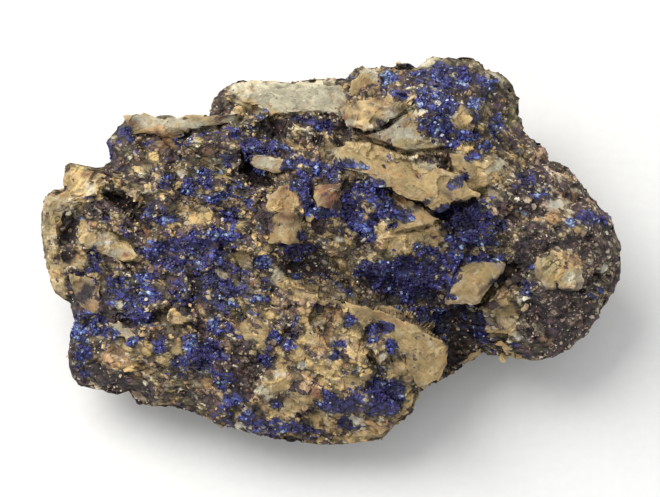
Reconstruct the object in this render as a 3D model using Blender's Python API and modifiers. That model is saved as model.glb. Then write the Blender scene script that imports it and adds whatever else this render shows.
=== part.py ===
"""Azurite hand specimen: one broken lump of ochre host rock with azurite grown over it.

The stone is described on its show face, which leans back from the level. Places on the face are in
millimetres: across to the right, up the face, and out of it towards the viewer. A rim runs round the
face, the broken front side rises from it, and the underside drops from it to a flat resting face.
"""

import math

import bmesh
import bpy
import numpy as np
from mathutils import Matrix, Vector

MM = 0.001
LEAN = math.radians(18)  # the show face leans back from the level
LIFT = 22.0  # height of the middle of the face over the table
TAPER_REACH = 400.0  # the stone narrows outwards by its height over this length
SHIFT = (0.28, -2.19)  # brings the middle of the footprint to the origin
SPHERE_STEPS = 7  # subdivisions of the starting sphere
VOXEL = 0.6  # grain of the joined stone
KEPT_SHARE = 0.105  # share of the joined stone's triangles that is kept
BED_DEPTH = 3.0  # how far the rough underside reaches below the cut
UNDERSIDE_REACH = 20.0  # width over which the underside draws in from the rim
UNDERSIDE_CURVE = 1.6  # 1 draws in along a straight line, 2 and over bulges
QUIET_RIM = 4.0  # the lumps fade towards the rim over this width
RIM_LUMPS = 0.3  # share of the lumps' height left at the rim
RIM_SAMPLING = 1.6  # how much longer than its width the rounded edge is sampled
SPOT_SOFTNESS = 2.2  # how far a spot height stays level
STEP_WIDTH = 0.5  # width of a broken step or of a pit's wall

# The rim seen from the front, anticlockwise from the right tip
OUTLINE = [
    (45.0, 0.0), (43.0, 4.8), (39.9, 8.4), (38.0, 11.2), (36.0, 13.0), (33.2, 13.7), (32.7, 15.7),
    (29.5, 18.3), (28.9, 20.5), (28.6, 24.7), (26.7, 27.2), (23.7, 27.9), (22.5, 29.8), (19.1, 29.6),
    (15.8, 29.8), (13.2, 28.2), (7.4, 28.2), (3.7, 28.2), (2.2, 26.5), (-0.8, 26.5), (-6.5, 25.9),
    (-10.9, 26.1), (-15.1, 25.9), (-17.7, 24.2), (-18.6, 22.2), (-19.1, 20.6), (-23.3, 20.3),
    (-27.9, 20.0), (-30.0, 21.3), (-32.6, 19.6), (-34.9, 16.6), (-34.1, 14.0), (-35.7, 12.3),
    (-40.7, 13.8), (-41.7, 11.2), (-41.6, 9.5), (-44.5, 8.2), (-45.2, 4.0), (-44.5, -0.8),
    (-43.1, -6.4), (-40.7, -8.4), (-39.9, -10.9), (-40.8, -14.9), (-41.0, -16.9), (-40.4, -19.6),
    (-39.1, -21.0), (-35.4, -21.7), (-31.7, -22.2), (-28.7, -24.2), (-25.0, -24.1), (-21.4, -25.1),
    (-17.1, -26.8), (-11.2, -28.6), (-5.3, -29.6), (-0.2, -30.4), (3.1, -29.8), (7.9, -29.2),
    (9.6, -27.3), (12.0, -25.3), (13.0, -22.5), (14.6, -21.0), (17.8, -19.7), (20.6, -17.4),
    (23.3, -15.5), (28.6, -16.5), (32.4, -17.1), (37.1, -15.1), (39.4, -12.6), (41.6, -9.5),
    (43.6, -6.7), (44.9, -3.4),
]

# Round the rim: bearing in degrees, height of the rim, width of the rounded edge
RIM = [
    (0, -6.0, 9), (6, -6.0, 8), (16, -6.5, 7), (26, -7.0, 7), (35, -9.0, 8), (45, -10.0, 8),
    (57, -9.0, 7), (65, -8.0, 7), (82, -10.0, 6), (86, -12.0, 5), (95, -13.0, 5), (104, -14.0, 5),
    (120, -14.0, 5), (130, -12.0, 5), (133, -9.0, 5), (145, -9.0, 5), (155, -9.0, 6),
    (160, -7.0, 6), (170, -8.0, 5), (181, -8.0, 5), (200, -7.0, 7), (208, -7.0, 7), (215, -6.0, 6),
    (230, -5.0, 6), (249, -5.0, 7), (270, -5.5, 8), (285, -5.0, 7), (295, -4.0, 5), (311, -4.0, 3),
    (318, -9.0, 4), (324, -11.5, 4), (330, -6.0, 4), (340, -6.5, 8),
]

# Spot heights of the show face: across, up, out
FACE = {
    "upper right hump": [
        (15, 22, 3), (11, 26, 0), (7, 27, -4), (17, 28, -2.5), (22, 27, -4), (26, 24, -5.5),
        (27, 19, -6.5), (21, 22, 2), (23, 17, 1.5), (26, 16, 0), (31, 14, -2.5), (11, 18, 3.2),
        (6, 22, 2.5), (2, 20, 0), (1, 24, -7), (5, 26, -6.5),
    ],
    "middle of the right half": [
        (3, 15, 3), (9, 12, 4), (15, 9, 4), (14, 4, 3), (11, 1, 2), (20, 4, 1), (24, 5, 1.5),
        (23, 13, 2.5), (22, -1, 0), (17, 0, 0),
    ],
    "right lobe": [
        (29, 8, 2.5), (33, 2, 4), (35, -3, 4.5), (38, 5, 1.5), (40, 0, 0), (42, -5, -3),
        (39, -8, -2), (36, -12, -2.5), (31, -13, -2), (26, -12, -1.5), (26, -7, 1), (30, -6, 2),
        (35, 11, -2), (38, 8, -3.5),
    ],
    "trough": [
        (21, -5, -0.5), (17, -5, -2), (20, -11, -4), (22, -14, -5), (19, -17, -7), (7, 0, -0.5),
        (11, -4, -2), (8, -6, -3), (14, -8, -3), (17, -12, -4.5),
    ],
    "front lobe": [
        (0, -8, 2.5), (4, -10, 3), (11, -12, 3.5), (16, -15, 2.5), (15, -19, 0.5), (11, -19, 2),
        (4, -16, 3), (-3, -14, 2.5), (-8, -12, 1.5), (3, -23, 0.5), (9, -23, 0), (-3, -22, 0.5),
        (-10, -20, 0), (-5, -26, -2), (-14, -23, -1.5), (3, -28, -3),
    ],
    "centre": [
        (0, -3, -0.5), (-5, -2, -1.5), (-6, 2, 0.5), (-7, 7, 2.5), (0, 8, 2), (2, 4, 0.5),
        (-3, 12, 1), (-13, 8, 1), (-14, 2, 0.5), (-13, -5, 0.5), (-10, -8, 1), (-17, -2, 0),
        (-20, 8, -0.5), (-24, 4, -1), (-18, 5, 0.5),
    ],
    "lower left": [
        (-22, 0, -1), (-25, -2, -2), (-20, -6, 0), (-27, -8, -1.5), (-24, -12, 0.5), (-27, -16, 0),
        (-20, -17, 0), (-20, -11, 0), (-17, -14, 0.5), (-24, -22, -1.5), (-31, -19, -2.5),
        (-34, -16, -3), (-38, -12, -4), (-38, -19, -5.5), (-34, -8, -3.5), (-31, -5, -2.5),
        (-38, -6, -4.5), (-42, -5, -6.5),
    ],
    "far left": [
        (-41, 2, -6), (-42, 7, -6.5), (-38, 10, -4.5), (-38, 0, -3.5), (-33, 2, -2.5),
        (-36, 6, -4.5), (-28, 4, -2), (-34, 11, -5), (-28, 8, -2),
    ],
    "upper left": [
        (-29, 11, -4), (-24, 12, -1), (-21, 16, 0), (-27, 16, -3), (-31, 16, -5.5),
        (-31, 20, -6.5), (-24, 19, -4.5), (-17, 16, -0.5), (-18, 19, -4), (-14, 21, -5),
        (-16, 22, -9), (-11, 19, -3.5), (-10, 16, -1.5),
    ],
    "back slab and its trench": [
        (-13, 24, -10), (-5, 23, -10), (0, 24, -11), (-7, 21, -9.5), (-5, 19, -8), (-1, 19, -8),
        (-6, 17, -5), (-3, 16, -1),
    ],
}

# Broken steps: the ground on the left of each path, walked from its first point, stands higher
STEPS = {
    "front lobe's ridge": {
        "path": [(18.3, -14.6), (14.9, -12.1), (10.4, -10.1), (6.4, -8.8), (1.9, -7.6), (-3.4, -6.5)],
        "rise": 2.6, "reach": 3.0,
    },
    "front lobe's end": {
        "path": [(16.9, -19.9), (17.5, -17.7), (18.3, -14.6)], "rise": 3.0, "reach": 3.0,
    },
    "near wall of the trench": {
        "path": [(2.0, 18.0), (0.5, 17.2), (-1.6, 16.3), (-3.6, 15.1), (-6.5, 15.4), (-10.2, 17.4)],
        "rise": 3.0, "reach": 2.5,
    },
    "far wall of the trench": {
        "path": [(-9.6, 20.5), (-7.3, 21.3), (-2.2, 21.4), (0.5, 20.8)], "rise": 2.0, "reach": 2.0,
    },
}

# Open breaks between plates
GROOVES = {
    "left of the lifted flake": {
        "path": [(9.5, 9.6), (10.4, 8.8), (12.4, 7.3), (14.4, 6.1), (16.8, 5.1)],
        "width": 0.8, "depth": 2.2,
    },
    "right of the lifted flake": {
        "path": [(16.9, 5.6), (18.6, 6.8), (20.8, 7.3), (23.1, 8.7)], "width": 1.0, "depth": 2.2,
    },
    "beside the leaf": {
        "path": [(27.9, -2.5), (26.1, -4.0), (24.5, -5.6), (22.3, -8.1)], "width": 0.8, "depth": 2.0,
    },
    "trough": {
        "path": [(-5.0, -1.9), (1.2, -4.7), (7.4, -6.5), (13.7, -8.5), (18.3, -12.4), (19.6, -15.8)],
        "width": 2.6, "depth": 1.6,
    },
}

# Hollows with steep walls
PITS = {
    "deep cavity": {
        "outline": [(-16.8, 12.7), (-12.9, 14.0), (-11.8, 12.1), (-10.4, 10.2), (-13.7, 10.9)],
        "depth": 4.0,
    },
    "left cavity": {
        "outline": [(-35.7, 8.4), (-32.9, 8.2), (-29.8, 7.3), (-28.9, 5.9), (-30.1, 4.3), (-33.5, 4.8)],
        "depth": 3.5,
    },
    "recess over the lifted flake": {
        "outline": [(12.4, 14.7), (15.2, 14.9), (18.3, 14.3), (18.8, 12.1), (16.8, 12.7), (14.4, 13.8)],
        "depth": 1.5,
    },
    "pit in the left rim": {
        "outline": [(-43.1, 5.4), (-41.3, 5.7), (-39.9, 3.9), (-40.2, 1.1), (-41.9, 0.6)],
        "depth": 2.0,
    },
}

# Plates and blocks that stand over the face: outline, middle of the top, its slopes, thickness
PLATES = {
    "lifted flake": {
        "outline": [
            (5.7, 11.6), (8.4, 10.2), (10.2, 9.2), (12.4, 7.9), (16.8, 5.7), (18.6, 7.1), (23.0, 9.2),
            (19.1, 12.0), (15.5, 13.5), (12.1, 14.3), (8.4, 13.2),
        ],
        "top": (14.5, 10.0, 5.5), "slope": (0.02, -0.10), "thick": 3.0,
    },
    "small flake": {
        "outline": [(10.1, 2.6), (14.4, 3.4), (16.8, 4.7), (12.9, 7.3), (9.2, 9.2)],
        "top": (12.5, 5.5, 4.0), "slope": (-0.02, 0.05), "thick": 2.5,
    },
    "tread under the small flake": {
        "outline": [(8.4, -0.8), (15.5, -0.9), (17.7, 1.6), (16.8, 3.7), (8.4, 3.4)],
        "top": (12.5, 1.5, 2.9), "slope": (-0.05, 0.08), "thick": 2.5,
    },
    "top wedge": {
        "outline": [
            (1.4, 20.5), (2.5, 19.1), (4.7, 18.6), (7.1, 18.9), (9.0, 19.9), (10.6, 20.8),
            (12.3, 22.0), (12.9, 23.9), (9.8, 24.4), (6.2, 23.7), (3.6, 23.4),
        ],
        "top": (7.0, 21.5, 3.8), "slope": (0.12, -0.20), "thick": 3.5,
    },
    "pale plate": {
        "outline": [
            (4.7, 17.5), (7.8, 16.6), (9.2, 15.7), (12.1, 15.1), (18.2, 15.7), (15.2, 16.8),
            (13.3, 18.3), (13.7, 20.5), (12.9, 21.9), (10.6, 20.5), (8.7, 19.1), (6.2, 18.2),
        ],
        "top": (11.0, 17.5, 3.9), "slope": (0.02, -0.05), "thick": 2.5,
    },
    "leaf": {
        "outline": [
            (17.8, -5.9), (18.2, -8.4), (19.9, -8.2), (22.0, -7.8), (23.6, -6.4), (26.1, -4.0),
            (26.4, -2.9), (23.0, -1.9), (20.8, -2.5), (18.6, -4.2),
        ],
        "top": (22.0, -5.2, 1.6), "slope": (0.10, 0.02), "thick": 3.0,
    },
    "middle block": {
        "outline": [
            (-10.1, 4.3), (-9.6, 1.1), (-5.0, 0.9), (-4.5, 5.4), (-5.3, 9.3), (-6.2, 10.4),
            (-8.1, 9.6), (-10.4, 7.8),
        ],
        "top": (-7.5, 5.5, 2.6), "slope": (0.05, 0.10), "thick": 3.0,
    },
    "red block": {
        "outline": [(-2.6, 10.2), (-2.5, 6.8), (1.6, 6.8), (1.6, 10.6)],
        "top": (-0.5, 8.6, 2.8), "slope": (0.06, 0.04), "thick": 2.5,
    },
    "left wedge": {
        "outline": [
            (-39.4, 2.2), (-38.3, 0.0), (-36.0, -0.3), (-32.1, -1.6), (-29.6, -1.4), (-31.4, 0.8),
            (-33.7, 2.8), (-36.8, 3.4),
        ],
        "top": (-34.5, 0.8, -2.2), "slope": (0.05, 0.10), "thick": 3.0,
    },
    "back slab": {
        "outline": [
            (-14.3, 24.6), (-13.8, 23.6), (-12.7, 22.7), (-10.9, 22.0), (-9.6, 20.5), (-7.3, 21.3),
            (-2.2, 21.4), (0.5, 20.8), (2.3, 21.4), (2.6, 24.1), (1.9, 25.4), (-0.8, 25.4),
            (-6.5, 24.9), (-10.9, 25.1),
        ],
        "top": (-6.0, 23.2, -9.2), "slope": (0.0, -0.25), "thick": 4.0,
    },
    "upper left ledge": {
        "outline": [
            (-32.0, 19.4), (-30.9, 18.6), (-28.2, 18.2), (-25.1, 18.3), (-21.3, 18.2), (-18.2, 18.6),
            (-17.3, 19.4), (-20.5, 19.7), (-24.8, 19.5), (-28.1, 19.2), (-29.6, 20.3),
        ],
        "top": (-25.0, 19.0, -4.4), "slope": (0.06, -0.15), "thick": 3.0,
    },
    "pale shard": {
        "outline": [
            (-12.7, 14.4), (-12.4, 13.2), (-10.9, 12.4), (-8.1, 12.1), (-6.2, 12.7), (-7.3, 14.0), (-10.9, 14.8),
        ],
        "top": (-9.5, 13.5, 0.6), "slope": (0.10, 0.10), "thick": 2.5,
    },
    "left rim plate": {
        "outline": [(-44.0, 7.7), (-43.2, 5.6), (-41.3, 6.2), (-41.6, 9.0)],
        "top": (-42.5, 7.0, -5.6), "slope": (0.20, -0.10), "thick": 3.0,
    },
    "left block": {
        "outline": [(-40.7, -3.9), (-39.4, -8.0), (-38.5, -9.3), (-36.0, -9.5), (-35.4, -7.8), (-36.0, -4.7)],
        "top": (-38.0, -6.5, -3.6), "slope": (0.10, 0.0), "thick": 3.0,
    },
    "right lobe's knob": {
        "outline": [(31.8, -0.8), (32.0, -3.9), (33.8, -6.4), (39.1, -6.2), (39.1, -2.8), (38.2, -0.5), (34.6, 0.3)],
        "top": (35.5, -3.2, 4.5), "slope": (-0.24, 0.04), "thick": 3.5,
    },
    "brown shoulder": {
        "outline": [(3.3, 26.6), (2.8, 25.1), (3.7, 23.6), (5.9, 24.1), (7.3, 26.2), (7.2, 27.4), (5.0, 27.6)],
        "top": (5.0, 25.8, -5.4), "slope": (0.10, -0.20), "thick": 4.0,
    },
}

# Broken lumps over the whole stone: size of a lump, how far it stands out or in, seed
LUMPS = [(9.0, 1.3, 3), (4.5, 0.6, 8)]


def clear_scene():
    """Remove every object, so that the script can be run again."""
    for old in list(bpy.data.objects):
        bpy.data.objects.remove(old, do_unlink=True)


def new_collection(name):
    made = bpy.data.collections.new(name)
    bpy.context.scene.collection.children.link(made)
    return made


def principled(name, colour, roughness):
    """A plain finish of one colour."""
    finish = bpy.data.materials.new(name)
    finish.use_nodes = True
    shader = finish.node_tree.nodes["Principled BSDF"]
    shader.inputs["Base Color"].default_value = (*colour, 1.0)
    shader.inputs["Roughness"].default_value = roughness
    shader.inputs["Metallic"].default_value = 0.0
    finish.diffuse_color = (*colour, 1.0)
    return finish


def path_distance(places, path, closed=False):
    """Distance from each place to a path, and whether the place lies on the path's left."""
    nearest = np.full(len(places), np.inf)
    left = np.zeros(len(places), bool)
    ends = path[1:] + path[:1] if closed else path[1:]
    for start, end in zip(path, ends):
        start = np.array(start)
        run = np.array(end) - start
        away = places - start
        share = np.clip(away @ run / (run @ run), 0.0, 1.0)
        gap = np.linalg.norm(away - share[:, None] * run, axis=1)
        side = run[0] * away[:, 1] - run[1] * away[:, 0] > 0.0
        closer = gap < nearest
        left = np.where(closer, side, left)
        nearest = np.minimum(gap, nearest)
    return nearest, left


def inside(places, outline):
    """Which places an outline holds, by counting the edges that a line to the right crosses."""
    held = np.zeros(len(places), bool)
    across, up = places[:, 0], places[:, 1]
    for (a0, b0), (a1, b1) in zip(outline, outline[1:] + outline[:1]):
        if b0 == b1:
            continue
        spans = (b0 > up) != (b1 > up)
        held ^= spans & (across < (a1 - a0) * (up - b0) / (b1 - b0) + a0)
    return held


def ramp(value):
    """A smooth rise from 0 to 1."""
    value = np.clip(value, 0.0, 1.0)
    return value * value * (3.0 - 2.0 * value)


def rim_values(bearing):
    """Reach, height and edge width of the rim at each bearing."""
    corners = np.array(OUTLINE)
    reach = np.interp(
        bearing,
        np.arctan2(corners[:, 1], corners[:, 0]),
        np.hypot(corners[:, 0], corners[:, 1]),
        period=2 * math.pi,
    )
    stations = np.array(RIM, float)
    turn = np.radians(stations[:, 0])
    height = np.interp(bearing, turn, stations[:, 1], period=2 * math.pi)
    width = np.interp(bearing, turn, stations[:, 2], period=2 * math.pi)
    return reach, height, width


def face_height(places):
    """Height of the show face: spot heights blended by distance, then steps, grooves and pits."""
    spots = np.array([spot for region in FACE.values() for spot in region], float)
    gap = ((places[:, None, :] - spots[None, :, :2]) ** 2).sum(axis=2)
    weight = 1.0 / (gap + SPOT_SOFTNESS**2) ** 2.5
    height = (weight @ spots[:, 2]) / weight.sum(axis=1)
    for step in STEPS.values():
        away, left = path_distance(places, step["path"])
        signed = np.where(left, away, -away)
        height += step["rise"] * (ramp(0.5 + signed / STEP_WIDTH) - 0.5) * np.exp(-away / step["reach"])
    for groove in GROOVES.values():
        away, _ = path_distance(places, groove["path"])
        height -= groove["depth"] * ramp(1.5 - away / groove["width"])
    for pit in PITS.values():
        away, _ = path_distance(places, pit["outline"], closed=True)
        signed = np.where(inside(places, pit["outline"]), away, -away)
        height -= pit["depth"] * ramp(0.5 + signed / (2 * STEP_WIDTH))
    return height


def scrambled(cells, channel):
    """A repeatable value from 0 to 1 for each whole-number cell."""
    key = cells.astype(np.int64).astype(np.uint64)
    mix = key[:, 0] * np.uint64(73856093) ^ key[:, 1] * np.uint64(19349663)
    mix ^= key[:, 2] * np.uint64(83492791) ^ np.uint64(channel * 2246822519)
    for shift, factor in ((15, 739982445), (12, 695872825), (15, 1103515245)):
        mix = (mix ^ (mix >> np.uint64(shift))) * np.uint64(factor) & np.uint64(0xFFFFFFFF)
    return mix.astype(float) / 2.0**32


def broken_lumps(places, size, seed):
    """From -1 to 1: each place takes the flat, tilted top of the nearest of many scattered lumps."""
    scaled = places / size
    home = np.floor(scaled)
    best = np.full(len(places), np.inf)
    value = np.zeros(len(places))
    for step in np.ndindex(3, 3, 3):
        cell = home + np.array(step) - 1
        middle = cell + np.stack([scrambled(cell, seed + axis) for axis in range(3)], axis=1)
        away = scaled - middle
        gap = (away**2).sum(axis=1)
        tilt = np.stack([scrambled(cell, seed + 3 + axis) for axis in range(3)], axis=1) - 0.5
        top = 1.2 * (scrambled(cell, seed + 6) - 0.5) + 1.4 * (tilt * away).sum(axis=1)
        value = np.where(gap < best, top, value)
        best = np.minimum(gap, best)
    return value


def stone_places(directions):
    """Where each point of a sphere goes on the smooth stone, and how strong the lumps are there."""
    bearing = np.arctan2(directions[:, 1], directions[:, 0])
    above = directions[:, 2] >= 0.0
    down = np.arccos(np.clip(np.abs(directions[:, 2]), 0.0, 1.0)) / (math.pi / 2)
    reach, rim, width = rim_values(bearing)
    width = np.where(above, width, np.minimum(UNDERSIDE_REACH, 0.8 * reach))
    run = down * (reach - width + RIM_SAMPLING * width)
    turn = np.clip((run - (reach - width)) / (RIM_SAMPLING * width), 0.0, 1.0) * math.pi / 2
    radius = np.where(turn > 0.0, reach - width + width * np.sin(turn), run)
    places = np.stack([radius * np.cos(bearing), radius * np.sin(bearing)], axis=1)
    edge, _ = path_distance(places, OUTLINE, closed=True)
    inwards = 1.0 - np.clip(edge / width, 0.0, 1.0)
    rounding = np.where(above, np.sqrt(1.0 - inwards**2), 1.0 - inwards**UNDERSIDE_CURVE)
    bed = (-BED_DEPTH - LIFT - places[:, 1] * math.sin(LEAN)) / math.cos(LEAN)
    far = np.where(above, face_height(places), bed)
    stood = np.column_stack([places, rim + (far - rim) * rounding])
    return stood, RIM_LUMPS + (1.0 - RIM_LUMPS) * ramp(edge / QUIET_RIM)


def in_world(places):
    """Face millimetres to world metres: taper outwards, lean back, lift and centre."""
    narrowed = places[:, :2] * (1.0 - places[:, 2:] / TAPER_REACH)
    sin, cos = math.sin(LEAN), math.cos(LEAN)
    x = narrowed[:, 0] + SHIFT[0]
    y = narrowed[:, 1] * cos - places[:, 2] * sin + SHIFT[1]
    z = narrowed[:, 1] * sin + places[:, 2] * cos + LIFT
    return np.column_stack([x, y, z]) * MM


def vertex_values(mesh, name):
    values = np.empty(len(mesh.vertices) * 3, np.float32)
    mesh.vertices.foreach_get(name, values)
    return values.reshape(-1, 3).astype(float)


def make_stone(collection):
    """The lump itself: a sphere drawn out to the stone's form, then broken into lumps."""
    shape = bmesh.new()
    bmesh.ops.create_icosphere(shape, subdivisions=SPHERE_STEPS, radius=1.0)
    mesh = bpy.data.meshes.new("azurite_specimen")
    shape.to_mesh(mesh)
    shape.free()
    directions = vertex_values(mesh, "co")
    directions /= np.linalg.norm(directions, axis=1)[:, None]
    places, strength = stone_places(directions)
    mesh.vertices.foreach_set("co", places.astype(np.float32).ravel())
    mesh.update()
    outwards = vertex_values(mesh, "normal")
    push = strength * sum(height * broken_lumps(places, size, seed) for size, height, seed in LUMPS)
    broken = in_world(places + outwards * push[:, None])
    mesh.vertices.foreach_set("co", broken.astype(np.float32).ravel())
    mesh.update()
    stone = bpy.data.objects.new("azurite_specimen", mesh)
    collection.objects.link(stone)
    stone.data.materials.append(principled("azurite and ochre rock", (0.30, 0.27, 0.26), 0.8))
    return stone


def mark_as_helper(obj):
    obj.hide_render = True
    obj.display_type = "WIRE"


def make_plate(name, plate, collection):
    """A plate: its flat outline drawn as a filled curve, given its thickness and laid on the face."""
    across, up, out = plate["top"]
    drawn = bpy.data.curves.new(name, "CURVE")
    drawn.dimensions = "2D"
    drawn.fill_mode = "BOTH"
    drawn.extrude = plate["thick"] * MM / 2
    line = drawn.splines.new("POLY")
    line.points.add(len(plate["outline"]) - 1)
    line.use_cyclic_u = True
    narrowed = MM * (1.0 - out / TAPER_REACH)
    for point, (a, b) in zip(line.points, plate["outline"]):
        point.co = ((a - across) * narrowed, (b - up) * narrowed, 0.0, 1.0)
    sheet = bpy.data.objects.new(name, drawn)
    collection.objects.link(sheet)
    tilt = Vector((0, 0, 1)).rotation_difference(Vector((-plate["slope"][0], -plate["slope"][1], 1)))
    turn = Matrix.Rotation(LEAN, 4, "X") @ tilt.to_matrix().to_4x4()
    place = Vector(in_world(np.array([plate["top"]], float))[0])
    sheet.matrix_world = Matrix.Translation(place) @ turn @ Matrix.Translation((0, 0, -drawn.extrude))
    bpy.context.view_layer.update()
    graph = bpy.context.evaluated_depsgraph_get()
    mesh = bpy.data.meshes.new_from_object(sheet.evaluated_get(graph))
    solid = bpy.data.objects.new(name + " solid", mesh)
    solid.matrix_world = sheet.matrix_world
    collection.objects.link(solid)
    bpy.data.objects.remove(sheet, do_unlink=True)
    weld(mesh)
    mark_as_helper(solid)
    return solid


def weld(mesh):
    """Join a curve's loose caps to its sides."""
    shape = bmesh.new()
    shape.from_mesh(mesh)
    bmesh.ops.remove_doubles(shape, verts=shape.verts, dist=0.00001)
    bmesh.ops.recalc_face_normals(shape, faces=shape.faces)
    shape.to_mesh(mesh)
    shape.free()


def make_table(collection):
    """A block that cuts the underside flat at the table's height."""
    side = 0.2
    shape = bmesh.new()
    bmesh.ops.create_cube(shape, size=side)
    mesh = bpy.data.meshes.new("table block")
    shape.to_mesh(mesh)
    shape.free()
    block = bpy.data.objects.new("table block", mesh)
    block.location = (0.0, 0.0, -side / 2)
    collection.objects.link(block)
    mark_as_helper(block)
    return block


def add_boolean(stone, name, operation, operand):
    cut = stone.modifiers.new(name, "BOOLEAN")
    cut.operation = operation
    cut.solver = "EXACT"
    if isinstance(operand, bpy.types.Collection):
        cut.operand_type = "COLLECTION"
        cut.collection = operand
    else:
        cut.object = operand


def main():
    clear_scene()
    specimen = new_collection("azurite specimen")
    plates = new_collection("plates")
    cutters = new_collection("cutters")
    stone = make_stone(specimen)
    for name, plate in PLATES.items():
        make_plate(name, plate, plates)
    add_boolean(stone, "plates joined", "UNION", plates)
    joined = stone.modifiers.new("one skin", "REMESH")
    joined.mode = "VOXEL"
    joined.voxel_size = VOXEL * MM
    thinned = stone.modifiers.new("flat facets", "DECIMATE")
    thinned.ratio = KEPT_SHARE
    add_boolean(stone, "resting face", "DIFFERENCE", make_table(cutters))


main()
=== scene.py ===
import math

import bpy
import numpy as np
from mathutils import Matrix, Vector


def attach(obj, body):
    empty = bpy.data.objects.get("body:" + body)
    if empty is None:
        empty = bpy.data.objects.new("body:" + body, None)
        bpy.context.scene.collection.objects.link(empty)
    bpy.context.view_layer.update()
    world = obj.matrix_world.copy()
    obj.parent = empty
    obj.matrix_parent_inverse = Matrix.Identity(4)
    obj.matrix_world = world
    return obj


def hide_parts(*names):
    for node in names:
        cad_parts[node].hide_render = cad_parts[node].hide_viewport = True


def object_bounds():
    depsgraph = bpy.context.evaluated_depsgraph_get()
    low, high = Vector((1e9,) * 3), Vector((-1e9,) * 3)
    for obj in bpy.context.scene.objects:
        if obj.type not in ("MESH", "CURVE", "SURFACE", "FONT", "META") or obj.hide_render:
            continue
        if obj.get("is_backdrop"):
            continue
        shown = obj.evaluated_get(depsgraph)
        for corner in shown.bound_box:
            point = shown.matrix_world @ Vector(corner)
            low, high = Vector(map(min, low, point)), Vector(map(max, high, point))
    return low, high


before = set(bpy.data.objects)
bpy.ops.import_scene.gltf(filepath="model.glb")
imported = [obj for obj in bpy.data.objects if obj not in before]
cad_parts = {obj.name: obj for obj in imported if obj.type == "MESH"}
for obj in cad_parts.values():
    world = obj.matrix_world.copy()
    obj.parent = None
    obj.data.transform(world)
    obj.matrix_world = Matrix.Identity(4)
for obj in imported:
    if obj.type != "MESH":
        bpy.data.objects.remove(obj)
cadLow, cadHigh = (np.array(corner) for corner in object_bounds())
mm = 0.001
print("frame loaded")

# The stone is laid out on its show face: across, up and out of the face, in millimetres.
# lean: the face leans back from the level; lift: height of its middle over the table;
# narrowing: the stone narrows outwards by its height over this length; shift centres the footprint
layout = {"lean": math.radians(18), "lift": 22.0, "narrowing": 400.0, "shift": (0.28, -2.19)}


# Face millimetres to metres in the row frame: narrow outwards, lean back, lift and centre
def inWorld(places):
    narrowed = places[:, :2] * (1.0 - places[:, 2:] / layout["narrowing"])
    sin, cos = math.sin(layout["lean"]), math.cos(layout["lean"])
    x = narrowed[:, 0] + layout["shift"][0]
    y = narrowed[:, 1] * cos - places[:, 2] * sin + layout["shift"][1]
    z = narrowed[:, 1] * sin + places[:, 2] * cos + layout["lift"]
    return np.column_stack([x, y, z]) * mm


# A smooth rise from 0 to 1
def ramp(value):
    value = np.clip(value, 0.0, 1.0)
    return value * value * (3.0 - 2.0 * value)


# Large odd numbers that stir a cell's three numbers and a seed into one
stirring = {
    "axes": (73856093, 19349663, 83492791), "seed": 2246822519,
    "folds": ((15, 739982445), (12, 695872825), (15, 1103515245)),
}


# A repeatable value from 0 to 1 for each whole-number cell: its numbers stirred, folded to 32 bits
def cellValue(cells, seed):
    key = cells.astype(np.int64).astype(np.uint64)
    stirred = np.bitwise_xor.reduce(key * np.array(stirring["axes"], np.uint64), axis=1)
    stirred ^= np.uint64(seed * stirring["seed"])
    for shift, factor in stirring["folds"]:
        stirred = (stirred ^ (stirred >> np.uint64(shift))) * np.uint64(factor) & np.uint64(2**32 - 1)
    return stirred.astype(float) / 2.0**32


# Three such values for each cell, from three seeds
def cellValues(cells, seed):
    return np.stack([cellValue(cells, seed + axis) for axis in range(3)], axis=1)


# How far a lump's border wavers and over what length, how far it stands out and how it tilts, all
# as shares of its size
lumpForm = {"waver": 0.4, "waverSize": 0.4, "lift": 1.2, "tilt": 1.4}


# From about -1 to 1: each place takes the flat, tilted top of the nearest of many scattered lumps,
# whose borders waver. Ten seeds: three for the lumps' middles, three for their tilt, one for their
# height and three for the waver
def brokenLumps(places, size, seed):
    form = lumpForm
    waver = [driftNoise(places, form["waverSize"] * size, seed + 7 + axis) for axis in range(3)]
    scaled = places / size + form["waver"] * (np.stack(waver, axis=1) - 0.5)
    home = np.floor(scaled)
    best = np.full(len(places), np.inf)
    nearest = home.copy()
    away = scaled.copy()
    for step in np.ndindex(3, 3, 3):
        cell = home + np.array(step) - 1
        middle = cell + cellValues(cell, seed)
        gap = ((scaled - middle) ** 2).sum(axis=1)
        closer = (gap < best)[:, None]
        nearest = np.where(closer, cell, nearest)
        away = np.where(closer, scaled - middle, away)
        best = np.minimum(gap, best)
    tilt = cellValues(nearest, seed + 3) - 0.5
    lift = cellValue(nearest, seed + 6) - 0.5
    return form["lift"] * lift + form["tilt"] * (tilt * away).sum(axis=1)


# Lumps of several sizes together, each given as size, height and seed
def layeredLumps(places, layers):
    return sum(height * brokenLumps(places, size, seed) for size, height, seed in layers)


# From 0 to 1: random values on a lattice, blended smoothly along the three axes
def driftNoise(places, size, seed):
    scaled = places / size
    home = np.floor(scaled)
    share = ramp(scaled - home)
    total = np.zeros(len(places))
    for step in np.ndindex(2, 2, 2):
        weight = np.where(np.array(step), share, 1.0 - share).prod(axis=1)
        total += weight * cellValue(home + np.array(step), seed)
    return total


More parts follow.
